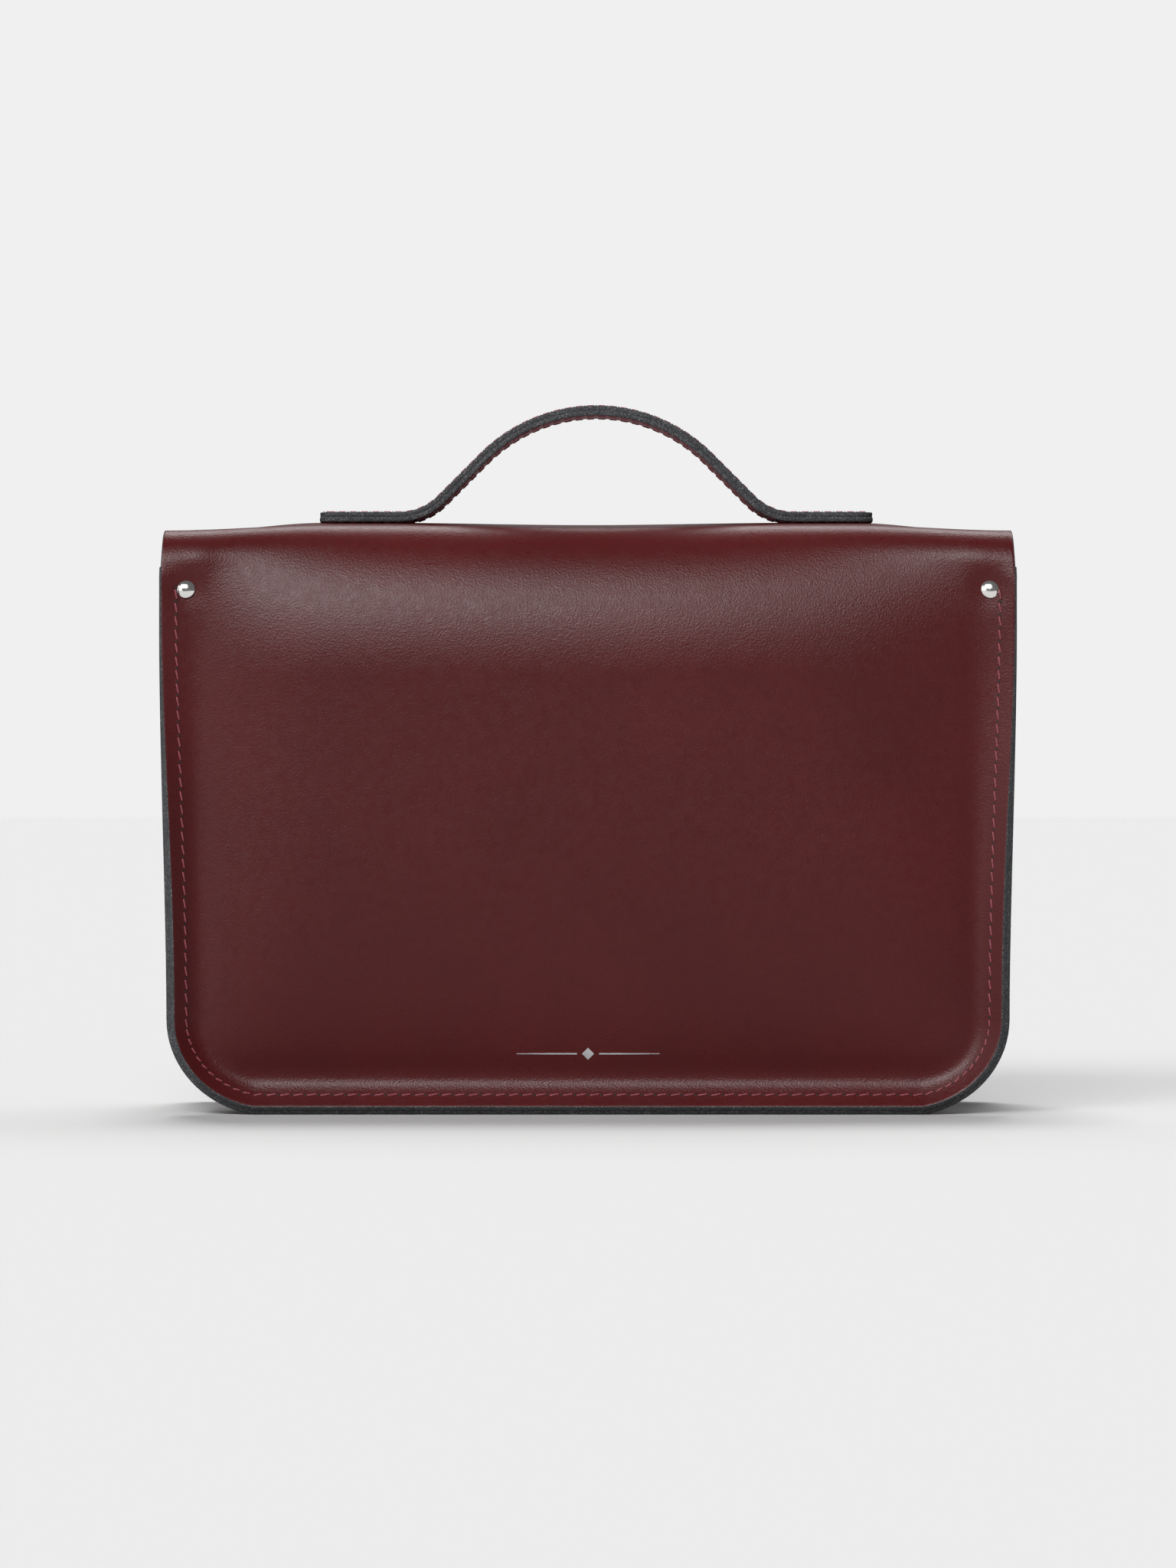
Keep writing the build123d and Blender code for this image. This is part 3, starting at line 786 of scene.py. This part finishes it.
# ---- stitches
def capsule(centre, along, up, length, radius, rings=3):
    """A short rounded length of thread."""
    side = np.cross(up, along)
    profile = []
    for i in range(1, rings + 1):
        angle = pi / 2 * i / rings
        profile.append((-0.5 + radius / length * (1 - cos(angle)), sin(angle)))
    profile += [(-t, r) for t, r in reversed(profile)]
    loops = [ring(centre + along * length * t, side * radius * r, up * radius * r, 8) for t, r in profile]
    return spindle(centre - along * length / 2, loops, centre + along * length / 2)


def hole_shade_cap(centre, up, along, length, width, height):
    """A low closed cap, cut slantwise across the seam, that carries the painted shade of a needle hole."""
    side = np.cross(up, along)
    loops = [ring(centre + up * height * level, side * length * share, along * width * share, 12)
             for level, share in ((0.0, 1.0), (0.7, 0.7))]
    return spindle(centre - up * height * 2, loops, centre + up * height)


def stitch_row(name, body, stations, radius=0.38 * MM, share=0.7, slant=8.0, lift=0.1, hole=0.6 * MM):
    """Stitches along a line of (point, tangent, normal) stations, with a cap of painted needle-hole shade
    between each two.
    share is a stitch's part of its step, slant its angle in degrees, lift how far it stands up."""
    shapes = []
    for number, (point, along, up) in enumerate(stations):
        along = along / np.linalg.norm(along)
        up = up / np.linalg.norm(up)
        side = np.cross(up, along)
        step = STITCH_PITCH
        if number + 1 < len(stations):
            step = min(step, np.linalg.norm(stations[number + 1][0] - point))
        tilted = along * cos(radians(slant)) + side * sin(radians(slant))
        shapes.append(capsule(point + up * radius * lift, tilted, up, step * share, radius))
        # The dark cap between two stitches is painted shade of the needle hole.
        cut = along * cos(radians(25)) - side * sin(radians(25))
        shapes.append(hole_shade_cap(point + along * step / 2 - up * 0.02 * MM, up, cut, hole, 0.6 * hole, 0.09 * MM))
    points, faces = joined(shapes)
    indices = [number % 2 for number, (_, shape_faces) in enumerate(shapes) for _ in shape_faces]
    declare(make_object(name, points, faces, [THREAD, HOLE_SHADE], indices, sharp=60), "thread", body)


def seam_stations(seam, inner, top):
    """Stitch places along a whole seam on its outer or inner face, from a height on each side."""
    first = OUTLINE.side - (top - CORNER)
    span = OUTLINE.length - 2 * first
    count = round(span / STITCH_PITCH)
    stations = []
    for i in range(count + 1):
        s = first + span * i / count
        stack = seam.stack(OUTLINE.at(s)[0][1])
        depth = stack if inner else 0.0
        point, normal = seam.point(s, STITCH_INSET, depth, stack)
        ahead, _ = seam.point(min(s + 0.5 * MM, OUTLINE.length), STITCH_INSET, depth, stack)
        behind, _ = seam.point(max(s - 0.5 * MM, 0), STITCH_INSET, depth, stack)
        stations.append((point, ahead - behind, -normal if inner else normal))
    return stations


SEAM_START = 197 * MM  # just under the corner rivets
for name, seam, inner, top in (
    ("back_seam_thread", BACK_SEAM, False, SEAM_START),
    ("back_seam_thread_inner", BACK_SEAM, True, SEAM_START),
    ("front_seam_thread", FRONT_SEAM, False, POCKET_TOP - 4 * MM),
    ("front_seam_thread_inner", FRONT_SEAM, True, SEAM_START),
):
    stitch_row(name, "bag_body", seam_stations(seam, inner, top), share=0.74, slant=11.0, hole=0.75 * MM)


# ---- strips of leather that follow a curve of (point, normal) pairs
STRIP_COLUMNS = 12
ACROSS_X, ACROSS_Y = np.array((1.0, 0.0, 0.0)), np.array((0.0, 1.0, 0.0))


def arc_lengths(curve):
    """How far along the curve each of its points is."""
    return [0.0, *np.cumsum([np.linalg.norm(b - a) for (a, _), (b, _) in zip(curve[:-1], curve[1:])])]


def end_steps(curve, corner):
    """The curve with extra points near both ends, so that the round corners are smooth."""
    dense = []
    for (a, normal), (b, _) in zip(curve[:-1], curve[1:]):
        near = min(np.linalg.norm(a - curve[0][0]), np.linalg.norm(b - curve[-1][0]))
        parts = 6 if near < corner * 1.1 else 1
        dense += [(a + (b - a) * i / parts, normal) for i in range(parts)]
    return [*dense, curve[-1]]


def strip(name, curve, across, half, corner, thickness, inside=SUEDE, crown=0.0, hole=None):
    """A leather strip with round end corners; across is the direction of its width.
    hole(row, column) says which of its cells are cut out."""
    lengths = arc_lengths(curve)
    points = []
    for (point, normal), s in zip(curve, lengths):
        near = min(s, lengths[-1] - s)
        wide = half
        if near < corner:
            wide -= corner - sqrt(max(corner ** 2 - (corner - near) ** 2, 0))
        for i in range(STRIP_COLUMNS + 1):
            t = -1 + 2 * i / STRIP_COLUMNS
            points.append(point + across * wide * t - normal * crown * t * t)
    faces = grid_faces(len(curve) - 1, STRIP_COLUMNS)
    if hole is not None:
        faces = [face for number, face in enumerate(faces) if not hole(*divmod(number, STRIP_COLUMNS))]
    quarter = len(curve) // 4
    normals = point_normals(points, faces)
    if normals[quarter * (STRIP_COLUMNS + 1) + STRIP_COLUMNS // 2] @ curve[quarter][1] < 0:
        faces = [tuple(reversed(f)) for f in faces]
    return leather_piece(name, points, faces, thickness, inside)


def station_at(curve, lengths, s):
    """(point, tangent, normal) at the arc length s."""
    k = min(max(int(np.searchsorted(lengths, s)) - 1, 0), len(curve) - 2)
    t = (s - lengths[k]) / max(lengths[k + 1] - lengths[k], 1e-9)
    (a, normal_a), (b, normal_b) = curve[k], curve[k + 1]
    normal = normal_a * (1 - t) + normal_b * t
    return a * (1 - t) + b * t, b - a, normal / np.linalg.norm(normal)


def side_rows(curve, start, end, pitch, across, reach):
    """Stitch stations in two rows along a strip, reach from its middle."""
    lengths = arc_lengths(curve)
    count = max(1, round((end - start) / pitch))
    row = [station_at(curve, lengths, start + (end - start) * i / count) for i in range(count + 1)]
    return [(point + across * side * reach, along, up) for side in (-1, 1) for point, along, up in row]


def cross_row(curve, s, across, reach):
    """Three stitch stations across a strip at the arc length s."""
    point, _, up = station_at(curve, arc_lengths(curve), s)
    return [(point + across * reach * share, across, up) for share in (-0.5, 0, 0.5)]


# ---- handle
HANDLE_LOW, HANDLE_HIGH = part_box("handle_outer")
HANDLE_HALF = HANDLE_HIGH.x
HANDLE_LAYER = HANDLE_LOW.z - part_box("handle_lining")[0].z
HANDLE_HALF_WIDTH = (HANDLE_HIGH.y - HANDLE_LOW.y) / 2
HANDLE_RISE = HANDLE_HIGH.z - HANDLE_LOW.z - HANDLE_LAYER
HANDLE_TOP = HANDLE_LOW.z + HANDLE_LAYER + TOP_CROWN  # upper face of the feet
HANDLE_FOOT = 67.3 * MM  # where the line of the slope meets the foot
HANDLE_SLOPE = radians(45)
HANDLE_FOOT_RADIUS = 21 * MM
HANDLE_SHIFT = -3.2 * MM  # sewn on slightly off the middle
HANDLE_CORNER = 6 * MM
HANDLE_CROSS_SEAM = 74 * MM  # inner end of a foot's stitching, from the middle


def handle_curve(down, cell):
    """The handle's side view at a depth under its upper face: points and upward normals."""
    apex = HANDLE_FOOT * tan(HANDLE_SLOPE)
    crown = (apex - HANDLE_RISE) / (1 / cos(HANDLE_SLOPE) - 1)
    radius = HANDLE_FOOT_RADIUS
    line = []

    def straight(a, b):
        length = hypot(b[0] - a[0], b[1] - a[1])
        normal = (-(b[1] - a[1]) / length, (b[0] - a[0]) / length)
        count = max(1, round(length / cell))
        for i in range(count):
            line.append((a[0] + (b[0] - a[0]) * i / count, a[1] + (b[1] - a[1]) * i / count, *normal))

    def turn(x, z, radius, start, end, sign):
        count = max(4, round(abs(end - start) * radius / cell))
        for i in range(count):
            a = start + (end - start) * i / count
            line.append((x + radius * cos(a), z + radius * sin(a), sign * cos(a), sign * sin(a)))

    foot = HANDLE_FOOT + radius * tan(HANDLE_SLOPE / 2)
    slope_x, slope_z = foot - radius * sin(HANDLE_SLOPE), radius * (1 - cos(HANDLE_SLOPE))
    crown_x, crown_z = crown * sin(HANDLE_SLOPE), HANDLE_RISE - crown * (1 - cos(HANDLE_SLOPE))
    straight((-HANDLE_HALF, 0), (-foot, 0))
    turn(-foot, radius, radius, -pi / 2, -pi / 2 + HANDLE_SLOPE, -1)
    straight((-slope_x, slope_z), (-crown_x, crown_z))
    turn(0, HANDLE_RISE - crown, crown, pi / 2 + HANDLE_SLOPE, pi / 2 - HANDLE_SLOPE, 1)
    straight((crown_x, crown_z), (slope_x, slope_z))
    turn(foot, radius, radius, -pi / 2 - HANDLE_SLOPE, -pi / 2, -1)
    straight((foot, 0), (HANDLE_HALF, 0))
    line.append((HANDLE_HALF, 0, 0.0, 1.0))
    curve = []
    for x, z, nx, nz in line:
        point = np.array((x - nx * down + HANDLE_SHIFT, FLAP_MIDDLE, HANDLE_TOP + z - nz * down))
        curve.append((point, np.array((nx, 0.0, nz))))
    return curve


for name, node, down, inside, crown in (
    ("handle_outer_leather", "handle_outer", 0, SUEDE, 0.25 * MM),
    ("handle_lining_leather", "handle_lining", HANDLE_LAYER, LINING, 0.0),
):
    curve = end_steps(handle_curve(down, 2.2 * MM), HANDLE_CORNER)
    obj = strip(name, curve, ACROSS_Y, HANDLE_HALF_WIDTH, HANDLE_CORNER, HANDLE_LAYER, inside, crown)
    declare(obj, "handle_lining" if inside is LINING else "burgundy_leather", "flap_lid", node)

# Two rows along the handle, seen on both faces, and rows across each foot, seen on top.
for name, down, side, lift in (
    ("handle_thread", 0.0, 1, -0.6), ("handle_thread_under", 2 * HANDLE_LAYER, -1, 0.2),
):
    curve = handle_curve(down, 1.0 * MM)
    total = arc_lengths(curve)[-1]
    reach = HANDLE_HALF_WIDTH - STRIP_SEAM
    rows = side_rows(curve, STRIP_END, total - STRIP_END, FINE_PITCH, ACROSS_Y, reach)
    rows = [(point, along, up * side) for point, along, up in rows]
    if side > 0:
        middle = total / 2
        for s in (STRIP_END, total - STRIP_END, middle - HANDLE_CROSS_SEAM, middle + HANDLE_CROSS_SEAM):
            rows += cross_row(curve, s, ACROSS_Y, reach)
    stitch_row(name, "flap_lid", rows, lift=lift)


# ---- rivets
def rivet_cap(place, axis, radius, height):
    """Domed cap with a rolled rim, sunk slightly into the leather."""
    place, axis = Vector(place), Vector(axis).normalized()
    side = axis.orthogonal().normalized()
    other = side.cross(axis)
    profile = [(radius * 0.93 * i / 12, height * (0.40 + 0.60 * (1 - (i / 12) ** 2.4))) for i in range(1, 13)]
    profile += [(radius * 0.985, height * 0.30), (radius, height * 0.18), (radius * 0.98, 0.0)]
    profile.append((radius * 0.9, -0.8 * MM))
    return spindle(place + axis * height, [ring(place + axis * h, side * r, other * r, 40) for r, h in profile])


def rivets(name, places, body, node, radius=3.6 * MM, height=1.8 * MM):
    points, faces = joined([rivet_cap(place, axis, radius, height) for place, axis in places])
    declare(make_object(name, points, faces, [NICKEL], sharp=50), "polished_nickel", body, node)


back_places, front_places = [], []
for x in (-CORNER_RIVET_X, CORNER_RIVET_X):
    y = BACK_FACE + back_swell(x, CORNER_RIVET_Z) + 0.3 * MM
    back_places.append(((x, y, CORNER_RIVET_Z), (0, cos(0.16), sin(0.16))))
    back_places.append(((x, BACK_FACE - 2 * LEATHER - 0.2 * MM, CORNER_RIVET_Z), (0, -1, 0)))
    front_places.append(((x, FRONT_FACE + LEATHER + 0.1 * MM, CORNER_RIVET_Z), (0, -1, 0)))
    front_places.append(((x, FRONT_FACE + 3 * LEATHER, CORNER_RIVET_Z), (0, 1, 0)))
rivets("back_rivets", back_places, "bag_body", "back_corner_rivets")
rivets("front_rivets", front_places, "bag_body", "front_corner_rivets")

# ---- closure straps
STRAP_LOW, STRAP_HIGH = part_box("closure_strap_left")
STRAP_HALF = (STRAP_HIGH.x - STRAP_LOW.x) / 2
STRAP_LEATHER = 3 * MM
STRAP_CORNER = 8.5 * MM
STRAP_STEP = FLAP_BOTTOM + 1 * MM, FLAP_BOTTOM - 20 * MM  # heights between which it steps out
STRAP_OUT = STRAP_LOW.y  # outer face of the free end
STRAP_TOP = STRAP_HIGH.z
STRAP_TIP = STRAP_LOW.z


def strap_y(x, z):
    """Outer face of a strap: on the flap, then stepping out over the buckle tab."""
    out = ease(*STRAP_STEP, z)
    return (FLAP_FACE - flap_swell(x, z) - STRAP_LEATHER) * (1 - out) + STRAP_OUT * out


def tangents(line):
    """Unit tangents at a line's points."""
    steps = [ahead - behind for ahead, behind in zip([*line[1:], line[-1]], [line[0], *line[:-1]])]
    return [step / np.linalg.norm(step) for step in steps]


def strap_curve(x, cell):
    count = round((STRAP_TOP - STRAP_TIP) / cell)
    heights = [STRAP_TIP + (STRAP_TOP - STRAP_TIP) * i / count for i in range(count + 1)]
    line = [np.array((x, strap_y(x, z), z)) for z in heights]
    return [(point, np.array((0, -along[2], along[1]))) for point, along in zip(line, tangents(line))]


def build_strap(side, x):
    curve = end_steps(strap_curve(x, 1.6 * MM), 9 * MM)
    obj = strip(f"closure_strap_leather_{side}", curve, ACROSS_X, STRAP_HALF, STRAP_CORNER, STRAP_LEATHER,
                crown=0.3 * MM)
    declare(obj, "burgundy_leather", "flap_drop", f"closure_strap_{side}")
    curve = strap_curve(x, 1.0 * MM)
    reach = STRAP_HALF - STRIP_SEAM
    start, end = FLAP_BOTTOM + 5 * MM - STRAP_TIP, STRAP_TOP - STRAP_TIP - STRIP_END
    rows = side_rows(curve, start, end, FINE_PITCH, ACROSS_X, reach)
    rows += cross_row(curve, start, ACROSS_X, reach) + cross_row(curve, end, ACROSS_X, reach)
    stitch_row(f"strap_thread_{side}", "flap_drop", rows)


strap_places = []
for side in ("left", "right"):
    low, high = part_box(f"closure_strap_{side}")
    x = (low.x + high.x) / 2
    build_strap(side, x)
    for z in (FLAP_BOTTOM + 11 * MM, STRAP_TOP - 11 * MM):
        strap_places.append(((x, strap_y(x, z) + 0.1 * MM, z), (0, -1, 0)))
rivets("strap_rivet_caps", strap_places, "flap_drop", "strap_rivets", 3.2 * MM, 1.4 * MM)

# ---- looped tabs and keepers
TAB_LEATHER = 1.6 * MM
BUCKLE_LOOP = 1.31 * MM + TAB_LEATHER  # outer radius of the leather round a buckle's bar
RING_LOOP = 1.56 * MM + TAB_LEATHER  # and round a D-ring's


def loop_curve(bar, out, radius, back, front, drop):
    """Side view of a tab folded round a bar: up its back leg, over the bar and down its front leg.
    back and front are the outer faces of the legs, measured outwards from the bar."""
    up = np.array((0, 0, 1.0))
    neck = 1.75 * radius
    start, end = pi if back <= -radius + 0.01 * MM else pi + 0.75, -0.8
    flat = [(back, -drop + (drop - neck) * i / 14) for i in range(15)]
    for i in range(23):
        angle = start + (end - start) * i / 22
        flat.append((radius * cos(angle), radius * sin(angle)))
    flat += [(front, -neck - (drop - neck) * i / 14) for i in range(15)]
    line = chaikin([bar + out * a + up * b for a, b in flat], 1)
    across = np.cross(out, up)
    curve = [(point, np.cross(across, along)) for point, along in zip(line, tangents(line))]
    if curve[2][1] @ out > 0:
        curve = [(point, -normal) for point, normal in curve]
    return curve


def build_loop_tab(node, body, bar, out, across, half, corner, radius, back, front, slot=0.0):
    """A tab folded round a bar, with a slot over the bar where one is given, and its stitching."""
    name, side = node.rsplit("_", 1)
    name = f"{name}_leather_{side}"
    out, drop = np.array(out, float), bar[2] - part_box(node)[0].z
    curve = end_steps(loop_curve(bar, out, radius, back, front, drop), corner)

    def cut(row, column):
        centre = (curve[row][0] + curve[row + 1][0]) / 2 - bar
        sideways = abs(-1 + 2 * (column + 0.5) / STRIP_COLUMNS) * half
        return sideways < slot / 2 and centre[2] > -1.4 * radius

    obj = strip(name, curve, across, half, corner, TAB_LEATHER, crown=0.12 * MM, hole=cut)
    declare(obj, "burgundy_leather", body, node)
    total = arc_lengths(curve)[-1]
    start, end, reach = total - (drop - 2.2 * radius), total - 3.2 * MM, half - 2.2 * MM
    rows = side_rows(curve, start, end, TAB_PITCH, across, reach) + cross_row(curve, end, across, reach)
    stitch_row(f"{name}_thread", body, rows, radius=0.34 * MM, hole=0.5 * MM)


def build_keeper(side):
    """The band that holds a strap's free end down on its tab."""
    low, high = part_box(f"keeper_{side}")
    centre, half = (low + high) / 2, (high - low) / 2
    corner = 2.25 * MM
    flat = np.array((half.x - corner, half.y - corner))
    outline = []
    for x, y, start in ((1, 1, 0), (-1, 1, 90), (-1, -1, 180), (1, -1, 270)):
        for i in range(9):
            a = radians(start + 90 * i / 8)
            outline.append(flat * (x, y) + corner * np.array((cos(a), sin(a))))
    dense = []
    for a, b in zip(outline, outline[1:] + outline[:1]):
        parts = max(1, round(np.linalg.norm(b - a) / (1.6 * MM)))
        dense += [a + (b - a) * i / parts for i in range(parts)]
    rows = 8
    points = []
    for j in range(rows + 1):
        t = -1 + 2 * j / rows
        for xy in dense:
            x, y = xy * (1 + 0.2 * MM * (1 - t * t) / np.linalg.norm(xy))
            points.append(np.array((centre.x + x, centre.y + y, centre.z + half.z * t)))
    faces = grid_faces(rows, len(dense), wrap=True)
    obj = leather_piece(f"keeper_leather_{side}", points, faces, 1.5 * MM, roundness=0.25 * MM)
    declare(obj, "burgundy_leather", "flap_drop", f"keeper_{side}")


for side, sign in (("left", -1), ("right", 1)):
    low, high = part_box(f"buckle_tab_{side}")
    bar = np.array(((low.x + high.x) / 2, (low.y + high.y) / 2, high.z - BUCKLE_LOOP))
    build_loop_tab(f"buckle_tab_{side}", "flap_drop", bar, (0, -1, 0), ACROSS_X, STRAP_HALF, 6 * MM,
                   BUCKLE_LOOP, -TAB_LEATHER, TAB_LEATHER, slot=3.4 * MM)
    build_keeper(side)
    low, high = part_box(f"d_ring_tab_{side}")
    wall = low.x if sign > 0 else high.x
    bar = np.array((wall + sign * RING_LOOP, SEAM_MIDDLE, high.z - RING_LOOP))
    build_loop_tab(f"d_ring_tab_{side}", "bag_body", bar, (sign, 0, 0), ACROSS_Y, (high.y - low.y) / 2,
                   5.4 * MM, RING_LOOP, -RING_LOOP, -RING_LOOP + 2 * TAB_LEATHER)

# ---- CAD pieces that keep their shape
SLOT_MATERIALS = {
    "burgundy_leather": BURGUNDY, "handle_lining": LINING, "polished_nickel": NICKEL, "snap_steel": STEEL,
}
SLOTS = {part["node"]: part["material_slot"] for part in frame["record"]["subparts"]}
for name, node in frame["nodes"].items():
    node.data.materials.clear()
    node.data.materials.append(SLOT_MATERIALS[SLOTS[name]])


# ---- foil ornament on the back
def low_back_face(z):
    """The back's outer face at a height near the bottom seam, on the bag's middle."""
    near, far = 0.0, BAND[-1]
    for _ in range(24):
        q = (near + far) / 2
        point, _ = BACK_SEAM.point(OUTLINE.length / 2, q, 0)
        near, far = (q, far) if point[2] < z else (near, q)
    return point[1]


FOIL_HEIGHT = 23 * MM
FOIL_HALF = 27 * MM  # half length of the rule
FOIL_THIN = 0.28 * MM  # half its width at the inner ends
FOIL_GAP = 4.2 * MM
LOZENGE = 2.3 * MM


def foil_patch(outline):
    """A thin closed patch that lies on the back, from its outline in (x, z)."""
    points, count = [], len(outline)
    for x, z in outline:
        for lift in (0.16 * MM, -0.3 * MM):
            points.append(np.array((x, low_back_face(z) + back_swell(x, z) + lift, z)))
    faces = [tuple(2 * i for i in range(count)), tuple(2 * i + 1 for i in reversed(range(count)))]
    for i in range(count):
        k = (i + 1) % count
        faces.append((2 * k, 2 * i, 2 * i + 1, 2 * k + 1))
    return points, faces


def build_foil():
    """A plain silver rule with a small lozenge in its middle, stamped low on the back."""
    z = FOIL_HEIGHT
    patches = []
    for sign in (-1, 1):
        for i in range(16):
            (a, wide_a), (b, wide_b) = (
                (sign * (FOIL_GAP + (FOIL_HALF - FOIL_GAP) * t), FOIL_THIN * (1 - 0.6 * t ** 2))
                for t in (i / 16, (i + 1) / 16)
            )
            quad = [(a, z - wide_a), (a, z + wide_a), (b, z + wide_b), (b, z - wide_b)]
            patches.append(quad if sign > 0 else quad[::-1])
    for i in range(4):
        low, high = -LOZENGE + LOZENGE * i / 2, -LOZENGE + LOZENGE * (i + 1) / 2
        a, b = LOZENGE - abs(low), LOZENGE - abs(high)
        patches.append([(-a, z + low), (a, z + low), (b, z + high), (-b, z + high)])
    points, faces = joined([foil_patch(outline) for outline in patches])
    declare(make_object("foil_rule", points, faces, [FOIL], sharp=40), "silver_foil", "bag_body")


build_foil()

# ---- stage, light and camera
FLOOR_TONE = 0.871  # what the plain backdrop and the floor come out as
FLOOR_ALBEDO = 0.442  # gives that tone under this light
AMBIENT = 0.15
SOFT_BOXES = [  # facing, azimuths, elevations and softness in degrees, strength
    ("back", (0, 38), (28, 42), 11, 13.5),  # key, over the camera
    ("back", (35, 80), (-10, 30), 14, 1.1),  # side panel
    ("front", (-50, 20), (40, 56), 10, 4.2),  # lights the flap's face
]
CAMERA_DISTANCE = 2.3  # from the back seam's face
CAMERA_HEIGHT = 125.1 * MM
VIEW_HEIGHT = 594.3 * MM  # of the seam's plane, over the picture's height
SENSOR = 36

scene = bpy.context.scene
scene.view_settings.view_transform = "Standard"


def add_to_scene(name, data):
    obj = bpy.data.objects.new(name, data)
    scene.collection.objects.link(obj)
    return obj


def build_floor():
    bpy.ops.mesh.primitive_plane_add(size=40, location=(0, 0, 0))
    floor = bpy.context.object
    floor.name = "studio_floor"
    floor.data.materials.append(Material("studio_floor").shade((FLOOR_ALBEDO,) * 3, 0.9, specular=0.0))


def lit_range(nodes, angle, low, high, soft):
    """1 between two angles in degrees, easing to 0 over the soft width outside."""
    parts = []
    for dark, bright in ((low - soft, low), (high + soft, high)):
        inputs = {
            "Value": angle, "From Min": radians(min(dark, bright)), "From Max": radians(max(dark, bright)),
            "To Min": float(dark > bright), "To Max": float(dark < bright),
        }
        parts.append(nodes.add("MapRange", "Result", inputs, interpolation_type="SMOOTHSTEP"))
    return nodes.math("MULTIPLY", *parts)


def build_world():
    """Soft boxes far away, given by azimuth from +Y or -Y towards +X and by elevation. The camera itself
    sees a plain backdrop."""
    scene.world = bpy.data.worlds.new("studio")
    scene.world.use_nodes = True
    nodes = Nodes(scene.world.node_tree)
    split = nodes.tree.nodes.new("ShaderNodeSeparateXYZ")
    nodes.feed(split.inputs[0], nodes.add("TexCoord", "Generated", {}))
    x, y, z = split.outputs
    azimuth = {
        "back": nodes.math("ARCTAN2", x, y),
        "front": nodes.math("ARCTAN2", x, nodes.math("MULTIPLY", y, -1.0)),
    }
    elevation = nodes.math("ARCSINE", z, 0.0)
    total = AMBIENT
    for side, azimuths, elevations, softness, strength in SOFT_BOXES:
        box = nodes.math("MULTIPLY", lit_range(nodes, azimuth[side], *azimuths, softness),
                         lit_range(nodes, elevation, *elevations, softness * 0.6))
        total = nodes.math("ADD", total, nodes.math("MULTIPLY", box, strength))
    light = nodes.add("Background", 0, {"Color": (1.0, 1.0, 1.0), "Strength": total})
    backdrop = nodes.add("Background", 0, {"Color": (FLOOR_TONE,) * 3})
    seen = nodes.add("LightPath", "Is Camera Ray", {})
    surface = nodes.add("MixShader", 0, {0: seen, 1: light, 2: backdrop})
    nodes.feed(nodes.tree.nodes["World Output"].inputs["Surface"], surface)


def build_sun():
    """High light from a little behind; the leather's shine comes from the soft boxes alone."""
    sun = add_to_scene("high_sun", bpy.data.lights.new("high_sun", "SUN"))
    sun.data.energy = 2.5
    sun.data.angle = radians(19)
    sun.rotation_euler = Vector((-0.03, 0.38, -0.92)).to_track_quat("-Z", "Y").to_euler()
    sun.visible_glossy = False


def build_camera():
    camera = add_to_scene("camera", bpy.data.cameras.new("camera"))
    camera.data.sensor_fit = "VERTICAL"
    camera.data.sensor_height = SENSOR
    camera.data.lens = SENSOR * CAMERA_DISTANCE / VIEW_HEIGHT
    camera.data.clip_end = 50
    camera.location = (0, BACK_FACE + CAMERA_DISTANCE, CAMERA_HEIGHT)
    camera.rotation_euler = (radians(90), 0, radians(180))
    scene.camera = camera


build_floor()
build_world()
build_sun()
build_camera()
